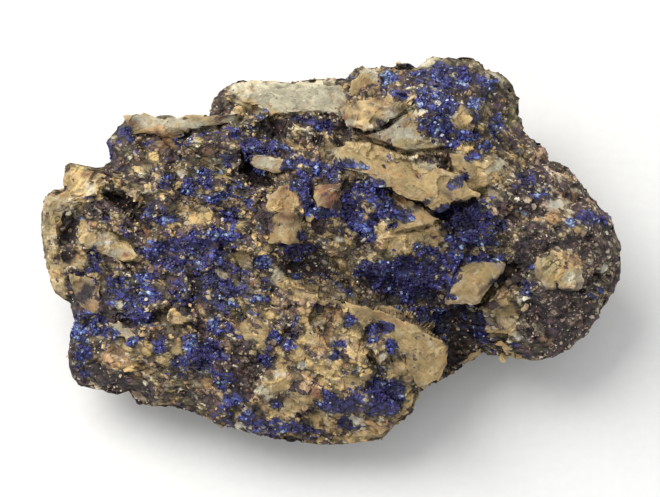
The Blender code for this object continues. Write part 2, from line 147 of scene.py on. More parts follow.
# Distance from each place to a path, and whether the place lies on the path's left
def pathDistance(places, path, closed=False):
    nearest = np.full(len(places), np.inf)
    left = np.zeros(len(places), bool)
    ends = path[1:] + path[:1] if closed else path[1:]
    for start, end in zip(path, ends):
        start = np.array(start)
        run = np.array(end) - start
        away = places - start
        share = np.clip(away @ run / (run @ run), 0.0, 1.0)
        gap = np.linalg.norm(away - share[:, None] * run, axis=1)
        side = run[0] * away[:, 1] - run[1] * away[:, 0] > 0.0
        closer = gap < nearest
        left = np.where(closer, side, left)
        nearest = np.minimum(gap, nearest)
    return nearest, left


# Which places an outline holds, by counting the edges that a line to the right crosses
def insideOf(places, outline):
    held = np.zeros(len(places), bool)
    across, up = places[:, 0], places[:, 1]
    for (a0, b0), (a1, b1) in zip(outline, outline[1:] + outline[:1]):
        if b0 == b1:
            continue
        spans = (b0 > up) != (b1 > up)
        held ^= spans & (across < (a1 - a0) * (up - b0) / (b1 - b0) + a0)
    return held


# A disc as a squashed square: the larger of |u| and |v| is the share of the way out, and the
# bearing swings from the middle of each side to its corners in proportion to the other parameter.
# Gives bearings, shares, faces and the edge, all anticlockwise
def discGrid(across, up, corner=math.pi / 4):
    u, v = np.meshgrid(np.linspace(-1, 1, across + 1), np.linspace(-1, 1, up + 1), indexing="ij")
    share = np.maximum(np.abs(u), np.abs(v))
    safe = np.where(share > 0.0, share, 1.0)
    side = np.where(u > 0.0, corner * v / safe, math.pi - corner * v / safe)
    end = math.pi / 2 - (math.pi / 2 - corner) * u / safe
    bearing = np.where(np.abs(u) >= np.abs(v), side, np.where(v > 0.0, end, -end))
    index = np.arange((across + 1) * (up + 1)).reshape(across + 1, up + 1)
    faces = np.stack([index[:-1, :-1], index[1:, :-1], index[1:, 1:], index[:-1, 1:]], axis=-1)
    edge = np.concatenate([index[-1, :-1], index[:0:-1, -1], index[0, :0:-1], index[:-1, 0]])
    return bearing.ravel(), share.ravel(), faces.reshape(-1, 4), edge


# Faces between two rings with as many points, the second one further out or further down
def bridgeRings(inner, outer):
    return np.stack([inner, outer, np.roll(outer, -1), np.roll(inner, -1)], axis=1)


# Triangles from a ring to one with half as many points
def halveRing(inner, outer):
    even, odd, after = inner[0::2], inner[1::2], np.roll(inner[0::2], -1)
    onwards = np.roll(outer, -1)
    return np.concatenate([
        np.stack([even, outer, odd], axis=1),
        np.stack([odd, outer, onwards], axis=1),
        np.stack([odd, onwards, after], axis=1),
    ])


def newObject(name, data):
    made = bpy.data.objects.new(name, data)
    bpy.context.scene.collection.objects.link(made)
    return made


# A mesh object from points in metres and lists of equal-sided faces
def makePiece(name, points, faceLists, material):
    mesh = bpy.data.meshes.new(name)
    mesh.vertices.add(len(points))
    mesh.vertices.foreach_set("co", points.astype(np.float32).ravel())
    sides = np.concatenate([np.full(len(faces), faces.shape[1]) for faces in faceLists])
    corners = np.concatenate([faces.ravel() for faces in faceLists])
    mesh.loops.add(len(corners))
    mesh.loops.foreach_set("vertex_index", corners.astype(np.int32))
    mesh.polygons.add(len(sides))
    mesh.polygons.foreach_set("loop_start", (np.cumsum(sides) - sides).astype(np.int32))
    mesh.update(calc_edges=True)
    mesh.validate()
    mesh.shade_flat()
    mesh.materials.append(material)
    return newObject(name, mesh)


def vertexValues(mesh, name):
    values = np.empty(len(mesh.vertices) * 3, np.float32)
    mesh.vertices.foreach_get(name, values)
    return values.reshape(-1, 3).astype(float)


def setColours(mesh, name, values):
    layer = mesh.attributes.new(name, "FLOAT_COLOR", "POINT")
    layer.data.foreach_set("color", values.astype(np.float32).ravel())


# Every piece moves with the one body
def enterPiece(piece):
    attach(piece, "root")
    triangles = sum(len(face.vertices) - 2 for face in piece.data.polygons)
    print(piece.name, triangles, "triangles")
    return piece


# Connect a socket, or set it where the value is a plain one
def feed(tree, value, socket):
    if isinstance(value, bpy.types.NodeSocket):
        tree.links.new(value, socket)
    else:
        socket.default_value = value


def addNode(tree, kind, inputs=None, **settings):
    made = tree.nodes.new("ShaderNode" + kind)
    for name, value in settings.items():
        setattr(made, name, value)
    for name, value in (inputs or {}).items():
        feed(tree, value, made.inputs[name])
    made.location = (len(tree.nodes) % 12 * 190, -(len(tree.nodes) // 12) * 260)
    return made


def maths(tree, operation, *values):
    return addNode(tree, "Math", dict(enumerate(values)), operation=operation).outputs[0]


def vectorMaths(tree, operation, *values):
    made = addNode(tree, "VectorMath", dict(enumerate(values)), operation=operation)
    return made.outputs[1 if operation == "DOT_PRODUCT" else 0]


def noise(tree, vector, size, detail=2.0, colour=False):
    made = addNode(tree, "TexNoise", {"Vector": vector, "Scale": 1.0 / size, "Detail": detail})
    return made.outputs[1 if colour else 0]


def scaleVector(tree, vector, factor):
    return addNode(tree, "VectorMath", {0: vector, "Scale": factor}, operation="SCALE").outputs[0]


# A smooth step from 0 to 1 between two values
def stepUp(tree, value, low, high, lowest=0.0, highest=1.0):
    inputs = {0: value, 1: low, 2: high, 3: lowest, 4: highest}
    return addNode(tree, "MapRange", inputs, interpolation_type="SMOOTHSTEP").outputs[0]


# Noise of a size and detail, cut by such a step
def patchedNoise(tree, vector, size, detail, *step):
    return stepUp(tree, noise(tree, vector, size, detail), *step)


def mixColours(tree, share, first, second):
    return addNode(tree, "Mix", {0: share, 6: first, 7: second}, data_type="RGBA").outputs[2]


def mixValues(tree, share, first, second):
    return addNode(tree, "Mix", {0: share, 2: first, 3: second}, data_type="FLOAT").outputs[0]


socketKinds = {"value": "NodeSocketFloat", "vector": "NodeSocketVector", "colour": "NodeSocketColor"}


# An empty node group with named inputs and outputs, given as {name: kind}
def newGroup(name, inputs, outputs):
    tree = bpy.data.node_groups.new(name, "ShaderNodeTree")
    for label, kind in inputs.items():
        tree.interface.new_socket(name=label, in_out="INPUT", socket_type=socketKinds[kind])
    for label, kind in outputs.items():
        tree.interface.new_socket(name=label, in_out="OUTPUT", socket_type=socketKinds[kind])
    return tree, tree.nodes.new("NodeGroupInput").outputs, tree.nodes.new("NodeGroupOutput").inputs


def useGroup(tree, group, inputs):
    return addNode(tree, "Group", inputs, node_tree=group).outputs


# Broken grains: two random values for each grain, a dome over it, and the slope of its own facet.
# The dome is level out to one distance from the grain's middle and gone at another
domeReach = (0.15, 0.62)


def makeGrainsGroup():
    tree, given, wanted = newGroup(
        "brokenGrains",
        {"Vector": "vector", "Size": "value"},
        {"Random": "value", "Random 2": "value", "Dome": "value", "Facet": "value"},
    )
    scale = maths(tree, "DIVIDE", 1.0, given["Size"])
    cells = addNode(tree, "TexVoronoi", {"Vector": given["Vector"], "Scale": scale}).outputs
    parts = addNode(tree, "SeparateColor", {0: cells["Color"]}).outputs
    feed(tree, parts[0], wanted["Random"])
    feed(tree, parts[1], wanted["Random 2"])
    feed(tree, stepUp(tree, cells["Distance"], *domeReach, 1.0, 0.0), wanted["Dome"])
    away = vectorMaths(tree, "SUBTRACT", given["Vector"], cells["Position"])
    tilt = vectorMaths(tree, "SUBTRACT", cells["Color"], (0.5, 0.5, 0.5))
    feed(tree, vectorMaths(tree, "DOT_PRODUCT", away, tilt), wanted["Facet"])
    return tree


# Host rock: least brightness, and clouds over it as size, detail and strength; grains of other
# tints, each with the step of the grain's random value that picks them; stains across the grains,
# as size and detail of the noise and the step that cuts it
hostLook = {
    "darkest": 0.42, "clouds": [(3.2, 4.0, 0.7), (0.55, 3.0, 0.5)], "folds": 7.0,
    "grains": {
        "rosy": {"step": (0.68, 0.80, 0.0, 0.7), "tint": (0.46, 0.29, 0.23, 1.0)},
        "pale": {"step": (0.62, 0.80), "tint": (0.60, 0.56, 0.41, 1.0)},
        "dull": {"step": (0.10, 0.35, 1.0, 0.0), "tint": (0.15, 0.13, 0.085, 1.0)},
    },
    "stains": {
        "ochre": {"patches": (2.3, 3.0, 0.54, 0.70, 0.0, 0.5), "tint": (0.42, 0.225, 0.085, 1.0)},
        "bleached": {"patches": (1.3, 3.0, 0.58, 0.70, 0.0, 0.45), "tint": (0.60, 0.53, 0.36, 1.0)},
    },
}


# Host rock of one tint: cloudy, each grain a little lighter or darker, with stains
def makeHostGroup():
    look = hostLook
    tree, given, wanted = newGroup(
        "stainedHost",
        {
            "Vector": "vector", "Tint": "colour", "Random": "value", "Random 2": "value",
            "Mottle": "value",
        },
        {"Color": "colour"},
    )
    shade = look["darkest"]
    for size, detail, strength in look["clouds"]:
        cloud = noise(tree, given["Vector"], size, detail)
        shade = maths(tree, "MULTIPLY_ADD", cloud, strength, shade)
    own = maths(tree, "MULTIPLY", maths(tree, "SUBTRACT", given["Random"], 0.5), given["Mottle"])
    shade = maths(tree, "ADD", shade, own)
    folded = maths(tree, "FRACT", maths(tree, "MULTIPLY", given["Random 2"], look["folds"]))
    colour = given["Tint"]
    for name, grains in look["grains"].items():
        random = folded if name == "rosy" else given["Random 2"]
        share = maths(tree, "MULTIPLY", stepUp(tree, random, *grains["step"]), given["Mottle"])
        colour = mixColours(tree, share, colour, grains["tint"])
    colour = scaleVector(tree, colour, shade)
    for stain in look["stains"].values():
        share = patchedNoise(tree, given["Vector"], *stain["patches"])
        colour = mixColours(tree, share, colour, stain["tint"])
    feed(tree, colour, wanted["Color"])
    return tree


# Azurite: how its tone rises with the patch's lightness, with clouds, with the crystal's random
# value and with a few painted glints (single crystals lifted towards sky blue as painted
# highlights), and the colour of each tone
azuriteLook = {
    "lightness": (0.66, -0.30), "cloud": (1.1, 3.0, 0.50), "random": 0.45,
    "paintedGlint": (0.90, 0.94, 0.0, 0.35),
    "tones": [
        (0.0, (0.018, 0.010, 0.036)), (0.30, (0.026, 0.018, 0.080)), (0.52, (0.046, 0.040, 0.165)),
        (0.70, (0.056, 0.060, 0.27)), (0.86, (0.10, 0.16, 0.42)), (1.0, (0.40, 0.52, 0.68)),
    ],
}


# Azurite: from nearly black to sky blue, by how light the patch is and by the crystal, with a few painted
# glints
def makeAzuriteGroup():
    look = azuriteLook
    tree, given, wanted = newGroup(
        "azuriteTone",
        {"Vector": "vector", "Lightness": "value", "Random": "value", "Random 2": "value"},
        {"Color": "colour"},
    )
    tone = maths(tree, "MULTIPLY_ADD", given["Lightness"], *look["lightness"])
    size, detail, strength = look["cloud"]
    tone = maths(tree, "MULTIPLY_ADD", noise(tree, given["Vector"], size, detail), strength, tone)
    tone = maths(tree, "MULTIPLY_ADD", given["Random"], look["random"], tone)
    # painted glints: a few crystals lifted towards sky blue as painted highlights
    tone = maths(tree, "ADD", tone, stepUp(tree, given["Random 2"], *look["paintedGlint"]))
    shades = addNode(tree, "ValToRGB", {0: tone})
    bar = shades.color_ramp
    for place, _ in look["tones"][1:-1]:
        bar.elements.new(place)
    for element, (place, colour) in zip(bar.elements, look["tones"]):
        element.position = place
        element.color = (*colour, 1.0)
    feed(tree, shades.outputs[0], wanted["Color"])
    return tree


# Rubbed wear and painted shade: what stands out is rubbed lighter, what lies deep is darkened with painted
# shade
shadeAndWearLook = {"sunk": 0.2, "proud": 0.8, "rubbed": 1.16}


def makeShadeAndWearGroup():
    look = shadeAndWearLook
    tree, given, wanted = newGroup(
        "edgeWearAndHollowShade",
        {"Color": "colour", "Relief": "value", "Hollow Shade": "value"},
        {"Color": "colour"},
    )
    # painted shade: the lowest relief is darkened by this much
    hollowShadeLevel = maths(tree, "SUBTRACT", 1.0, given["Hollow Shade"])
    inputs = {0: given["Relief"], 1: look["sunk"], 2: look["proud"], 3: hollowShadeLevel, 4: look["rubbed"]}
    shade = addNode(tree, "MapRange", inputs).outputs[0]
    feed(tree, scaleVector(tree, given["Color"], shade), wanted["Color"])
    return tree


def newMaterial(name):
    material = bpy.data.materials.new(name)
    material.use_nodes = True
    return material, material.node_tree, material.node_tree.nodes["Principled BSDF"]


# Object coordinates in millimetres
def millimetres(tree):
    return scaleVector(tree, addNode(tree, "TexCoord").outputs["Object"], 1.0 / mm)


# Broken rock. Grains lie along a turned, stretched and warped grid; "plain" is where so much is
# host rock that grains no longer show; each effect is given as what loose grains add to it and
# what is left of it on plain rock; drift, lace and specks are patches as size, detail and step
rockFinish = {
    "grainTurn": math.radians(26), "grainStretch": 0.62, "bigGrain": 1.3, "smallGrain": 0.6,
    "warps": [(1.4, 0.7), (0.4, 0.28)], "crushed": 0.5, "plain": (0.70, 0.90),
    "drift": (2.2, 4.0, 0.3, 0.7), "driftShare": 0.35,
    "lace": (1.5, 5.0, 0.28, 0.72), "laceShare": 0.42,
    "specks": (0.42, 2.0, 0.57, 0.65, 0.0, 0.7), "speckTint": (0.11, 0.07, 0.045, 1.0),
    # the dark matrix: its reddish cast is partly the rock's own and partly a painted reflection of pink
    # light
    "matrix": [(0.028, 0.016, 0.020, 1.0), (0.12, 0.068, 0.064, 1.0)],
    # painted shade: grains darken towards their edges by the two steps, the second on plain rock, and
    # hollows darken by the value after them
    "gapShade": (0.0, 0.40, 0.30, 1.0), "plainGapShade": (0.0, 0.30, 0.93, 1.0), "hollowShade": 0.5,
    "effects": {
        "mottle": (0.68, 0.14), "specks": (0.55, 0.45), "dome": (0.9, 0.1), "facet": (0.8, 0.2),
        "bigFacet": (0.9, 0.1), "micro": (0.06, 0.06),
    },
    "hostRoughness": 0.88, "darkRoughness": 0.62, "azuriteRoughness": 0.24, "azuriteSpread": 0.25,
    "domeHeight": 0.05, "facetHeight": 0.5, "hostFacet": 0.4, "bigFacetHeight": 0.35,
    "micro": (0.3, 4.0),
}


# Broken rock: every grain is host, azurite or dark matrix, in the shares that the covers give
def makeRockMaterial():
    look = rockFinish
    material, tree, shader = newMaterial("azurite on ochre rock")
    place = millimetres(tree)
    turned = addNode(tree, "Mapping", {"Vector": place, "Rotation": (0.0, 0.0, look["grainTurn"])})
    warped = vectorMaths(tree, "MULTIPLY", turned.outputs[0], (look["grainStretch"], 1.0, 1.0))
    for size, reach in look["warps"]:
        swirl = noise(tree, place, size, 2.0, colour=True)
        swirl = vectorMaths(tree, "SUBTRACT", swirl, (0.5, 0.5, 0.5))
        warped = vectorMaths(tree, "MULTIPLY_ADD", swirl, (reach,) * 3, warped)
    cover = addNode(tree, "Attribute", attribute_name="cover").outputs
    azuriteShare, hostShare, lightness = addNode(tree, "SeparateColor", {0: cover["Color"]}).outputs
    tint = addNode(tree, "Attribute", attribute_name="hostTint").outputs["Color"]
    big, small = (
        useGroup(tree, grainsGroup, {"Vector": warped, "Size": look[size]})
        for size in ("bigGrain", "smallGrain")
    )
    plain = stepUp(tree, hostShare, *look["plain"])
    loose = maths(tree, "SUBTRACT", 1.0, plain)
    effects = {
        name: maths(tree, "MULTIPLY_ADD", loose, *pair) for name, pair in look["effects"].items()
    }
    # some big grains are crushed to small ones; host or matrix is decided for each, with drifts
    crushed = maths(tree, "GREATER_THAN", big["Random 2"], look["crushed"])
    pick, other, dome = (
        mixValues(tree, crushed, big[name], small[name]) for name in ("Random", "Random 2", "Dome")
    )
    swayed = mixValues(tree, look["driftShare"], pick, patchedNoise(tree, place, *look["drift"]))
    isHost = maths(tree, "LESS_THAN", swayed, hostShare)
    # azurite, lacy with some whole crystals
    lace = patchedNoise(tree, warped, *look["lace"])
    lace = mixValues(tree, look["laceShare"], lace, small["Random"])
    isAzurite = maths(tree, "GREATER_THAN", lace, maths(tree, "SUBTRACT", 1.0, azuriteShare))
    matrix = mixColours(tree, small["Random"], *look["matrix"])
    hostInputs = {"Vector": place, "Tint": tint, "Random": pick, "Random 2": other}
    host = useGroup(tree, hostGroup, {**hostInputs, "Mottle": effects["mottle"]})["Color"]
    blueInputs = {"Vector": place, "Lightness": lightness, "Random": small["Random"]}
    blue = useGroup(tree, azuriteGroup, {**blueInputs, "Random 2": small["Random 2"]})["Color"]
    colour = mixColours(tree, isHost, matrix, host)
    colour = mixColours(tree, isAzurite, colour, blue)
    speck = maths(tree, "MULTIPLY", patchedNoise(tree, warped, *look["specks"]), effects["specks"])
    speck = maths(tree, "MULTIPLY", speck, isHost)
    colour = mixColours(tree, speck, colour, look["speckTint"])
    # each grain darkens towards its edges: painted shade in the gaps between grains, weaker on plain rock
    gap, plainGap = (stepUp(tree, dome, *look[name]) for name in ("gapShade", "plainGapShade"))
    shaded = scaleVector(tree, colour, mixValues(tree, plain, gap, plainGap))
    # painted shade in the rock's hollows, cracks and pits; proud places rubbed lighter
    wearAndShadeInputs = {"Color": shaded, "Relief": cover["Alpha"], "Hollow Shade": look["hollowShade"]}
    feed(tree, useGroup(tree, shadeAndWearGroup, wearAndShadeInputs)["Color"], shader.inputs["Base Color"])
    rough = mixValues(tree, isHost, look["darkRoughness"], look["hostRoughness"])
    spread = (look["azuriteSpread"], look["azuriteRoughness"])
    blueRough = maths(tree, "MULTIPLY_ADD", small["Random"], *spread)
    feed(tree, mixValues(tree, isAzurite, rough, blueRough), shader.inputs["Roughness"])
    # height: domes, the facets of small and big grains, and a fine roughness over all
    height = maths(tree, "MULTIPLY", dome, effects["dome"])
    height = maths(tree, "MULTIPLY", height, look["domeHeight"])
    facet = maths(tree, "MULTIPLY", small["Facet"], mixValues(tree, isAzurite, look["hostFacet"], 1.0))
    facet = maths(tree, "MULTIPLY", facet, effects["facet"])
    height = maths(tree, "MULTIPLY_ADD", facet, look["facetHeight"], height)
    facet = maths(tree, "MULTIPLY", big["Facet"], effects["bigFacet"])
    height = maths(tree, "MULTIPLY_ADD", facet, look["bigFacetHeight"], height)
    micro = maths(tree, "MULTIPLY", noise(tree, place, *look["micro"]), effects["micro"])
    height = maths(tree, "ADD", micro, height)
    bump = addNode(tree, "Bump", {"Height": height, "Strength": 1.0, "Distance": mm})
    feed(tree, bump.outputs[0], shader.inputs["Normal"])
    return material


crystalFinish = {
    "roughness": 0.16, "spread": 0.30, "hollowShade": 0.35, "stripes": (0.12, 2.0), "stripeDepth": 0.05,
    "stripeStrength": 0.35,
}


# Azurite crystals: each has its own shade of the blue and its own gloss
def makeCrystalMaterial():
    look = crystalFinish
    material, tree, shader = newMaterial("azurite crystals")
    place = millimetres(tree)
    cover = addNode(tree, "Attribute", attribute_name="cover").outputs
    random, other, lightness = addNode(tree, "SeparateColor", {0: cover["Color"]}).outputs
    inputs = {"Vector": place, "Lightness": lightness, "Random": random, "Random 2": other}
    blue = useGroup(tree, azuriteGroup, inputs)["Color"]
    wearAndShadeInputs = {"Color": blue, "Relief": cover["Alpha"], "Hollow Shade": look["hollowShade"]}
    feed(tree, useGroup(tree, shadeAndWearGroup, wearAndShadeInputs)["Color"], shader.inputs["Base Color"])
    gloss = maths(tree, "MULTIPLY_ADD", other, look["spread"], look["roughness"])
    feed(tree, gloss, shader.inputs["Roughness"])
    depth = {"Strength": look["stripeStrength"], "Distance": look["stripeDepth"] * mm}
    bump = addNode(tree, "Bump", {"Height": noise(tree, place, *look["stripes"]), **depth})
    feed(tree, bump.outputs[0], shader.inputs["Normal"])
    return material


# The stone: its rim seen from the front, anticlockwise from the right tip; round the rim, the
# bearing in degrees, height and width of the rounded edge; spot heights of the face as across, up
# and out; broken steps, the ground on a path's left standing higher, with how fast they fade out
# and how wide their slope is; open breaks; steep pits; fine cracks; and the broken edges of thin
# beds, with the turn of a bed in degrees
stone = {
    "outline": [
        (45, 0), (43, 4.8), (39.9, 8.4), (38, 11.2), (36, 13), (33.2, 13.7), (32.7, 15.7), (29.5, 18.3),
        (28.9, 20.5), (28.6, 24.7), (26.7, 27.2), (23.7, 27.9), (22.5, 29.8), (19.1, 29.6), (15.8, 29.8),
        (13.2, 28.2), (7.4, 28.2), (3.7, 28.2), (2.2, 26.5), (-0.8, 26.5), (-6.5, 25.9), (-10.9, 26.1),
        (-15.1, 25.9), (-17.7, 24.2), (-18.6, 22.2), (-19.1, 20.6), (-23.3, 20.3), (-27.9, 20), (-30, 21.3),
        (-32.6, 19.6), (-34.9, 16.6), (-34.1, 14), (-35.7, 12.3), (-40.7, 13.8), (-41.7, 11.2),
        (-41.6, 9.5), (-44.5, 8.2), (-45.2, 4), (-44.5, -0.8), (-43.1, -6.4), (-40.7, -8.4), (-39.9, -10.9),
        (-40.8, -14.9), (-41, -16.9), (-40.4, -19.6), (-39.1, -21), (-35.4, -21.7), (-31.7, -22.2),
        (-28.7, -24.2), (-25, -24.1), (-21.4, -25.1), (-17.1, -26.8), (-11.2, -28.6), (-5.3, -29.6),
        (-0.2, -30.4), (3.1, -29.8), (7.9, -29.2), (9.6, -27.3), (12, -25.3), (13, -22.5), (14.6, -21),
        (17.8, -19.7), (20.6, -17.4), (23.3, -15.5), (28.6, -16.5), (32.4, -17.1), (37.1, -15.1),
        (39.4, -12.6), (41.6, -9.5), (43.6, -6.7), (44.9, -3.4),
    ],
    "rim": [
        (0, -6.0, 9), (6, -6.0, 8), (16, -6.5, 7), (26, -7.0, 7), (35, -9.0, 8), (45, -10.0, 8),
        (57, -9.0, 7), (65, -8.0, 7), (82, -10.0, 6), (86, -12.0, 5), (95, -13.0, 5), (104, -14.0, 5),
        (120, -14.0, 5), (130, -12.0, 5), (133, -9.0, 5), (145, -9.0, 5), (155, -9.0, 6), (160, -7.0, 6),
        (170, -8.0, 5), (181, -8.0, 5), (200, -7.0, 7), (208, -7.0, 7), (215, -6.0, 6), (230, -5.0, 6),
        (249, -5.0, 7), (270, -5.5, 8), (285, -5.0, 7), (295, -4.0, 5), (311, -4.0, 3), (318, -9.0, 4),
        (324, -11.5, 4), (330, -6.0, 4), (340, -6.5, 8),
    ],
    "spots": {
        "upper right hump": [
            (15, 22, 3), (11, 26, 0), (7, 27, -4), (17, 28, -2.5), (22, 27, -4), (26, 24, -5.5),
            (27, 19, -6.5), (21, 22, 2), (23, 17, 1.5), (26, 16, 0), (31, 14, -2.5), (11, 18, 3.2),
            (6, 22, 2.5), (2, 20, 0), (1, 24, -7), (5, 26, -6.5),
        ],
        "middle of the right half": [
            (3, 15, 3.6), (9, 14, 4), (9, 12, 4), (15, 9, 4), (14, 4, 3), (11, 1, 2), (20, 4, 1),
            (24, 5, 1.5), (23, 13, 2.5), (22, -1, 0), (17, 0, 0),
        ],
        "right lobe": [
            (29, 8, 2.5), (33, 2, 4), (35, -3, 4.5), (38, 5, 1.5), (40, 0, 0), (42, -5, -3), (39, -8, -2),
            (36, -12, -2.5), (31, -13, -2), (26, -12, -1.5), (26, -7, 1), (30, -6, 2), (35, 11, -2),
            (38, 8, -3.5),
        ],
        "trough": [
            (21, -5, -0.5), (17, -5, -2), (20, -11, -4), (22, -14, -5), (19, -17, -7), (7, 0, -0.5),
            (11, -4, -2), (8, -6, -3), (14, -8, -3), (17, -12, -4.5),
        ],
        "front lobe": [
            (0, -8, 2.5), (4, -10, 3), (11, -12, 3.5), (16, -15, 2.5), (15, -19, 0.5), (11, -19, 2),
            (4, -16, 3), (-3, -14, 2.5), (-8, -12, 1.5), (3, -23, 0.5), (9, -23, 0), (-3, -22, 0.5),
            (-10, -20, 0), (-5, -26, -2), (-14, -23, -1.5), (3, -28, -3),
        ],
        "centre": [
            (0, -3, -0.5), (-5, -2, -1.5), (-6, 2, 0.5), (-7, 7, 2.5), (0, 8, 2), (2, 4, 0.5), (-3, 12, 1),
            (-13, 8, 1), (-14, 2, 0.5), (-13, -5, 0.5), (-10, -8, 1), (-17, -2, 0), (-20, 8, -0.5),
            (-24, 4, -1), (-18, 5, 0.5),
        ],
        "lower left": [
            (-22, 0, -1), (-25, -2, -2), (-20, -6, 0), (-27, -8, -1.5), (-24, -12, 0.5), (-27, -16, 0),
            (-20, -17, 0), (-20, -11, 0), (-17, -14, 0.5), (-24, -22, -1.5), (-31, -19, -2.5),
            (-34, -16, -3), (-38, -12, -4), (-38, -19, -5.5), (-34, -8, -3.5), (-31, -5, -2.5),
            (-38, -6, -4.5), (-42, -5, -6.5),
        ],
        "far left": [
            (-41, 2, -6), (-42, 7, -6.5), (-38, 10, -4.5), (-38, 0, -3.5), (-33, 2, -2.5), (-36, 6, -4.5),
            (-28, 4, -2), (-34, 11, -5), (-28, 8, -2),
        ],
        "upper left": [
            (-29, 11, -4), (-24, 12, -1), (-21, 16, 0), (-27, 16, -3), (-31, 16, -5.5), (-31, 20, -6.5),
            (-24, 19, -4.5), (-17, 16, -0.5), (-18, 19, -4), (-14, 21, -5), (-16, 22, -9), (-11, 19, -3.5),
            (-10, 16, -1.5),
        ],
        "back slab and its trench": [
            (-13, 24, -10), (-5, 23, -10), (0, 24, -11), (-7, 21, -9.5), (-5, 19, -8), (-1, 19, -8),
            (-6, 17, -5), (-3, 16, -1),
        ],
    },
    "steps": {
        "front lobe's ridge": {
            "path": [(18.3, -14.6), (14.9, -12.1), (10.4, -10.1), (6.4, -8.8), (1.9, -7.6), (-3.4, -6.5)],
            "rise": 2.6, "reach": 3.0, "width": 0.5,
        },
        "front lobe's end": {
            "path": [(16.9, -19.9), (17.5, -17.7), (18.3, -14.6)],
            "rise": 3.0, "reach": 3.0, "width": 0.5,
        },
        "near wall of the trench": {
            "path": [(2, 18), (0.5, 17.2), (-1.6, 16.3), (-3.6, 15.1), (-6.5, 15.4), (-10.2, 17.4)],
            "rise": 2.4, "reach": 3.0, "width": 2.4,
        },
        "far wall of the trench": {
            "path": [(-9.6, 20.5), (-7.3, 21.3), (-2.2, 21.4), (0.5, 20.8)],
            "rise": 2.0, "reach": 2.0, "width": 0.8,
        },
    },
    "breaks": {
        "left of the lifted flake": {
            "path": [(9.5, 9.6), (10.4, 8.8), (12.4, 7.3), (14.4, 6.1), (16.8, 5.1)],
            "width": 0.8, "depth": 2.2,
        },
        "right of the lifted flake": {
            "path": [(16.9, 5.6), (18.6, 6.8), (20.8, 7.3), (23.1, 8.7)], "width": 1.0, "depth": 2.2,
        },
        "beside the leaf": {
            "path": [(27.9, -2.5), (26.1, -4), (24.5, -5.6), (22.3, -8.1)], "width": 0.8, "depth": 2.0,
        },
        "trough": {
            "path": [(-5, -1.9), (1.2, -4.7), (7.4, -6.5), (13.7, -8.5), (18.3, -12.4), (19.6, -15.8)],
            "width": 2.6, "depth": 1.6,
        },
    },
    "pits": {
        "deep cavity": {
            "outline": [
                (-14.4, 15.3), (-13.6, 14.9), (-13, 13.3), (-11.8, 12), (-10.6, 11.4), (-9, 11.1),
                (-10.1, 10.2), (-11.5, 10.1), (-12.9, 11.2), (-14, 12.7),
            ],
            "depth": 3.6,
        },
        "left cavity": {
            "outline": [
                (-35.7, 9), (-34.1, 9), (-32, 8.1), (-30.1, 7.3), (-29.3, 6.2), (-29.6, 4.5), (-30.7, 4.7),
                (-32.3, 5.9), (-34.1, 7.3),
            ],
            "depth": 3.5,
        },
        "recess over the lifted flake": {
            "outline": [(12.4, 14.7), (15.2, 14.9), (18.3, 14.3), (18.8, 12.1), (16.8, 12.7), (14.4, 13.8)],
            "depth": 0.9,
        },
        "hollow over the front lobe": {
            "outline": [(-7.6, -1.2), (-5, -1.6), (-2.2, -2.5), (-3.1, -3.4), (-6.5, -2.8)],
            "depth": 0.9,
        },
        "lower pit in the left rim": {
            "outline": [(-41.7, -0.5), (-39.6, -0.8), (-39.7, -2.2), (-41.6, -1.9)], "depth": 1.5,
        },
        "pit in the left rim": {
            "outline": [(-43.1, 5.4), (-41.3, 5.7), (-39.9, 3.9), (-40.2, 1.1), (-41.9, 0.6)],
            "depth": 2.0,
        },
    },
    "cracks": {
        "under the wedge": {
            "path": [(0.2, 17.1), (5.3, 17.2), (7.8, 16.5), (9.2, 15.7), (12.1, 14.9)],
            "width": 0.35, "depth": 0.9,
        },
        "over the recess": {
            "path": [(11.3, 15.1), (14.9, 15.4), (18.2, 15.7)], "width": 0.3, "depth": 0.8,
        },
        "along the wedge": {
            "path": [(5.6, 18.3), (8.4, 19.1), (9.8, 20.2), (12.3, 22)], "width": 0.3, "depth": 0.7,
        },
        "right lobe": {"path": [(33.8, -6.4), (38.7, -6.4)], "width": 0.3, "depth": 0.8},
        "under the small flake": {"path": [(10.1, 2.5), (14.9, 3.6)], "width": 0.3, "depth": 0.8},
    },
    "beds": {
        "left shoulder": {
            "outline": [(-38.8, 13.6), (-34.6, 12.6), (-28.6, 9.6), (-27.6, 7.4), (-33, 8.6), (-38.4, 9.4)],
            "turn": -27.0, "spacing": 0.85, "height": 0.55,
        },
        "left wedge": {
            "outline": [(-38.6, 3.4), (-34, 3.2), (-29.6, 0.8), (-30, -1.8), (-35, -1.2), (-39.4, 0.4)],
            "turn": -28.0, "spacing": 0.9, "height": 0.4,
        },
        "right lobe's foot": {
            "outline": [(23.4, -14), (30, -13.8), (36.6, -14.8), (33, -17.2), (28, -16.6), (23.6, -15.6)],
            "turn": -6.0, "spacing": 0.8, "height": 0.5,
        },
        "front foot": {
            "outline": [(-18, -25.4), (-8, -27.2), (1, -28.6), (1, -30.6), (-9, -29.4), (-18, -27)],
            "turn": -11.0, "spacing": 0.8, "height": 0.4,
        },
    },
    "bedFade": 0.8, "bedWaver": 1.2, "bedNoise": (2.5, 91), "crackReach": 1.5, "pitSlope": 1.0,
    "spotSoftness": 2.2, "spotFade": 2.5,
    # under the rim: how far the underside reaches in, its curve, and how deep its bed lies
    "undersideReach": 20.0, "undersideShare": 0.8, "undersideCurve": 1.6, "bedDepth": 3.0,
    # lumps as size, height and seed; they are calmer at the rim and on plain host rock
    "lumps": [(9.0, 1.3, 3), (4.5, 0.6, 8)],
    "fineLumps": [(2.4, 0.42, 21), (1.2, 0.24, 31), (0.65, 0.12, 41)],
    "normalReach": 1.3, "quietRim": 4.0, "rimLumps": 0.5,
